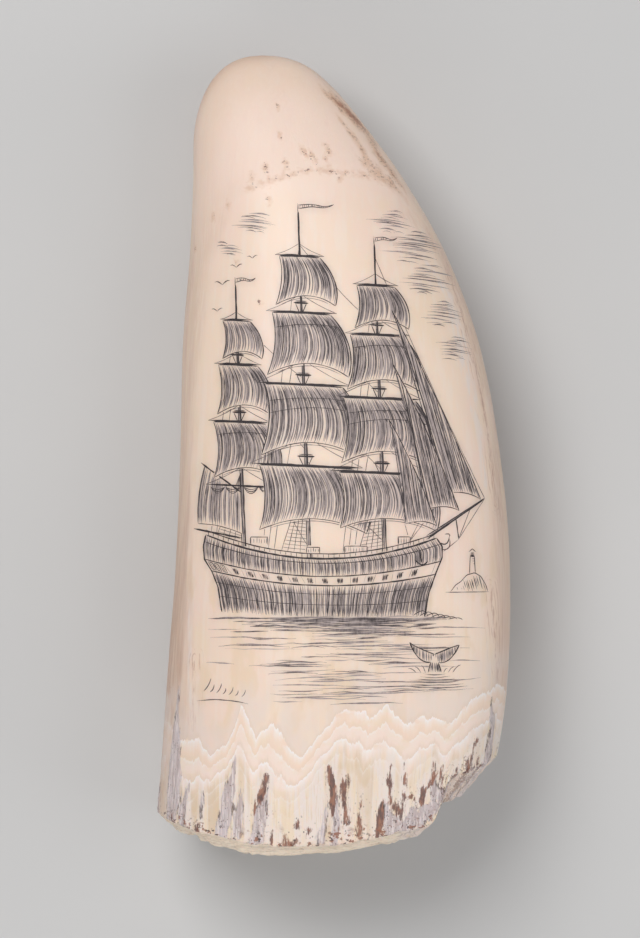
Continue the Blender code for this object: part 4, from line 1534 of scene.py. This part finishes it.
def ivory_material():
    """The tooth's outer surface: its colours, its sheen and its fine wear."""
    g = Graph("polished_ivory")
    names = ("face", "growth", "rim", "grey", "brown", "stain", "pits", "line", "pale", "smudge")
    marks = {name: g.attribute(name) for name in names}
    x, y, z = g.place_in_mm()
    colour, off_face = face_colour(g, marks, x, y, z)
    colour = tip_marks(g, marks, colour)
    colour = growth_colour(g, marks, colour)
    colour, in_grey = flame_colour(g, marks, x, colour)
    colour, on_rim = rim_colour(g, marks, x, z, colour)
    colour = g.over(colour, INK_HAZE, marks["smudge"], 0.42)

    rough_places = g.math("MAXIMUM", g.math("MAXIMUM", in_grey, on_rim), g.times(off_face, 0.4))
    roughness = g.add(0.38, g.times(rough_places, 0.28), g.times(g.noise((6, 10, 6), 3), 0.10))
    wear = g.times(g.noise((0.35, 1.1, 0.35), 4, 0.6), g.add(0.12, rough_places))
    scratches = g.times(g.noise((0.14, 3.6, 0.14)), 0.5)
    normal = g.bump(scratches, 0.02 * MM, 0.6, g.bump(wear, 0.10 * MM, 0.9))
    g.set(Base_Color=colour, Roughness=roughness, Normal=normal, Coat_Weight=0.05, Coat_Roughness=0.35)
    skin_of_ivory(g, 0.18)
    return g.material


def pulp_material():
    """The cavity's dull wall, with rings and blotches."""
    g = Graph("pulp_cavity_wall")
    wall = g.mix(g.patches((9, 0.9, 9), 0.35, 0.68, 4, 0.6), CAVITY_TAN, CAVITY_BROWN)
    wall = g.over(wall, CAVITY_DIRT, g.patches(4.0, 0.46, 0.72, 4, 0.6), 0.7)
    g.set(Base_Color=wall, Roughness=0.72, Normal=g.bump(g.noise(0.6, 4, 0.65), 0.16 * MM, 0.8))
    skin_of_ivory(g, 0.06)
    return g.material


def ink_material():
    """The ink in the cuts, paler where a stroke is light or worn."""
    g = Graph("engraving_ink")
    worn = g.add(g.attribute("tone"), g.swing((0.5, 1.4, 0.5), 0.35, 3, 0.6))
    g.set(Base_Color=g.mix(g.step(worn, 0.0, 0.9), INK_PALE, INK_DARK), Roughness=0.6, Specular_IOR_Level=0.3)
    return g.material


# The floor, the lights and the camera

def make_floor():
    size, depth = 3.0, -0.0002
    corners = [(x * size, y * size, depth) for x, y in ((-1, -1), (1, -1), (1, 1), (-1, 1))]
    mesh = bpy.data.meshes.new("floor")
    mesh.from_pydata(corners, [], [(0, 1, 2, 3)])
    g = Graph("pale_floor")
    g.set(Base_Color=g.mix(g.noise(60.0), (0.60, 0.60, 0.60), (0.64, 0.635, 0.63)), Roughness=0.8)
    mesh.materials.append(g.material)
    floor = add_to_scene("floor", mesh)


def make_light(name, place, size, power, colour=(1, 1, 1)):
    """A soft rectangular light that points at the tooth's middle."""
    light = bpy.data.lights.new(name, "AREA")
    light.shape = "RECTANGLE"
    light.size, light.size_y = size
    light.energy = power
    light.color = colour
    middle = Vector((0.0, 0.01, 0.02))
    lamp = add_to_scene(name, light)
    lamp.location = place
    lamp.rotation_euler = (middle - Vector(place)).to_track_quat("-Z", "Y").to_euler()


def make_lights():
    make_light("key", (-0.30, 0.40, 0.90), (0.55, 0.55), 6.1, (1.0, 0.985, 0.975))
    make_light("fill", (0.70, -0.10, 0.62), (0.60, 0.90), 1.9, (0.97, 0.985, 1.0))
    make_light("low", (-0.10, -0.85, 0.42), (0.80, 0.45), 2.7)
    world = bpy.data.worlds.new("studio")
    world.use_nodes = True
    background = world.node_tree.nodes["Background"]
    background.inputs["Color"].default_value = (0.93, 0.94, 0.95, 1)
    background.inputs["Strength"].default_value = 0.26
    bpy.context.scene.world = world


def make_camera():
    """Straight above the lying tooth. The photo's frame is 128 by 187.6 mm at the height of the outline."""
    sensor, lens = 36.0, 250.0
    frame_height = 187.6 * MM
    outline_height = 20 * MM
    data = bpy.data.cameras.new("camera")
    data.sensor_width = sensor
    data.lens = lens
    data.clip_start, data.clip_end = 0.01, 20.0
    camera = add_to_scene("camera", data)
    camera.location = (-2.08 * MM, 9.2 * MM, outline_height + frame_height * lens / sensor)
    bpy.context.scene.camera = camera
    bpy.context.scene.view_settings.view_transform = "Standard"


engrave(make_tooth([ivory_material(), pulp_material()]))
make_floor()
make_lights()
make_camera()
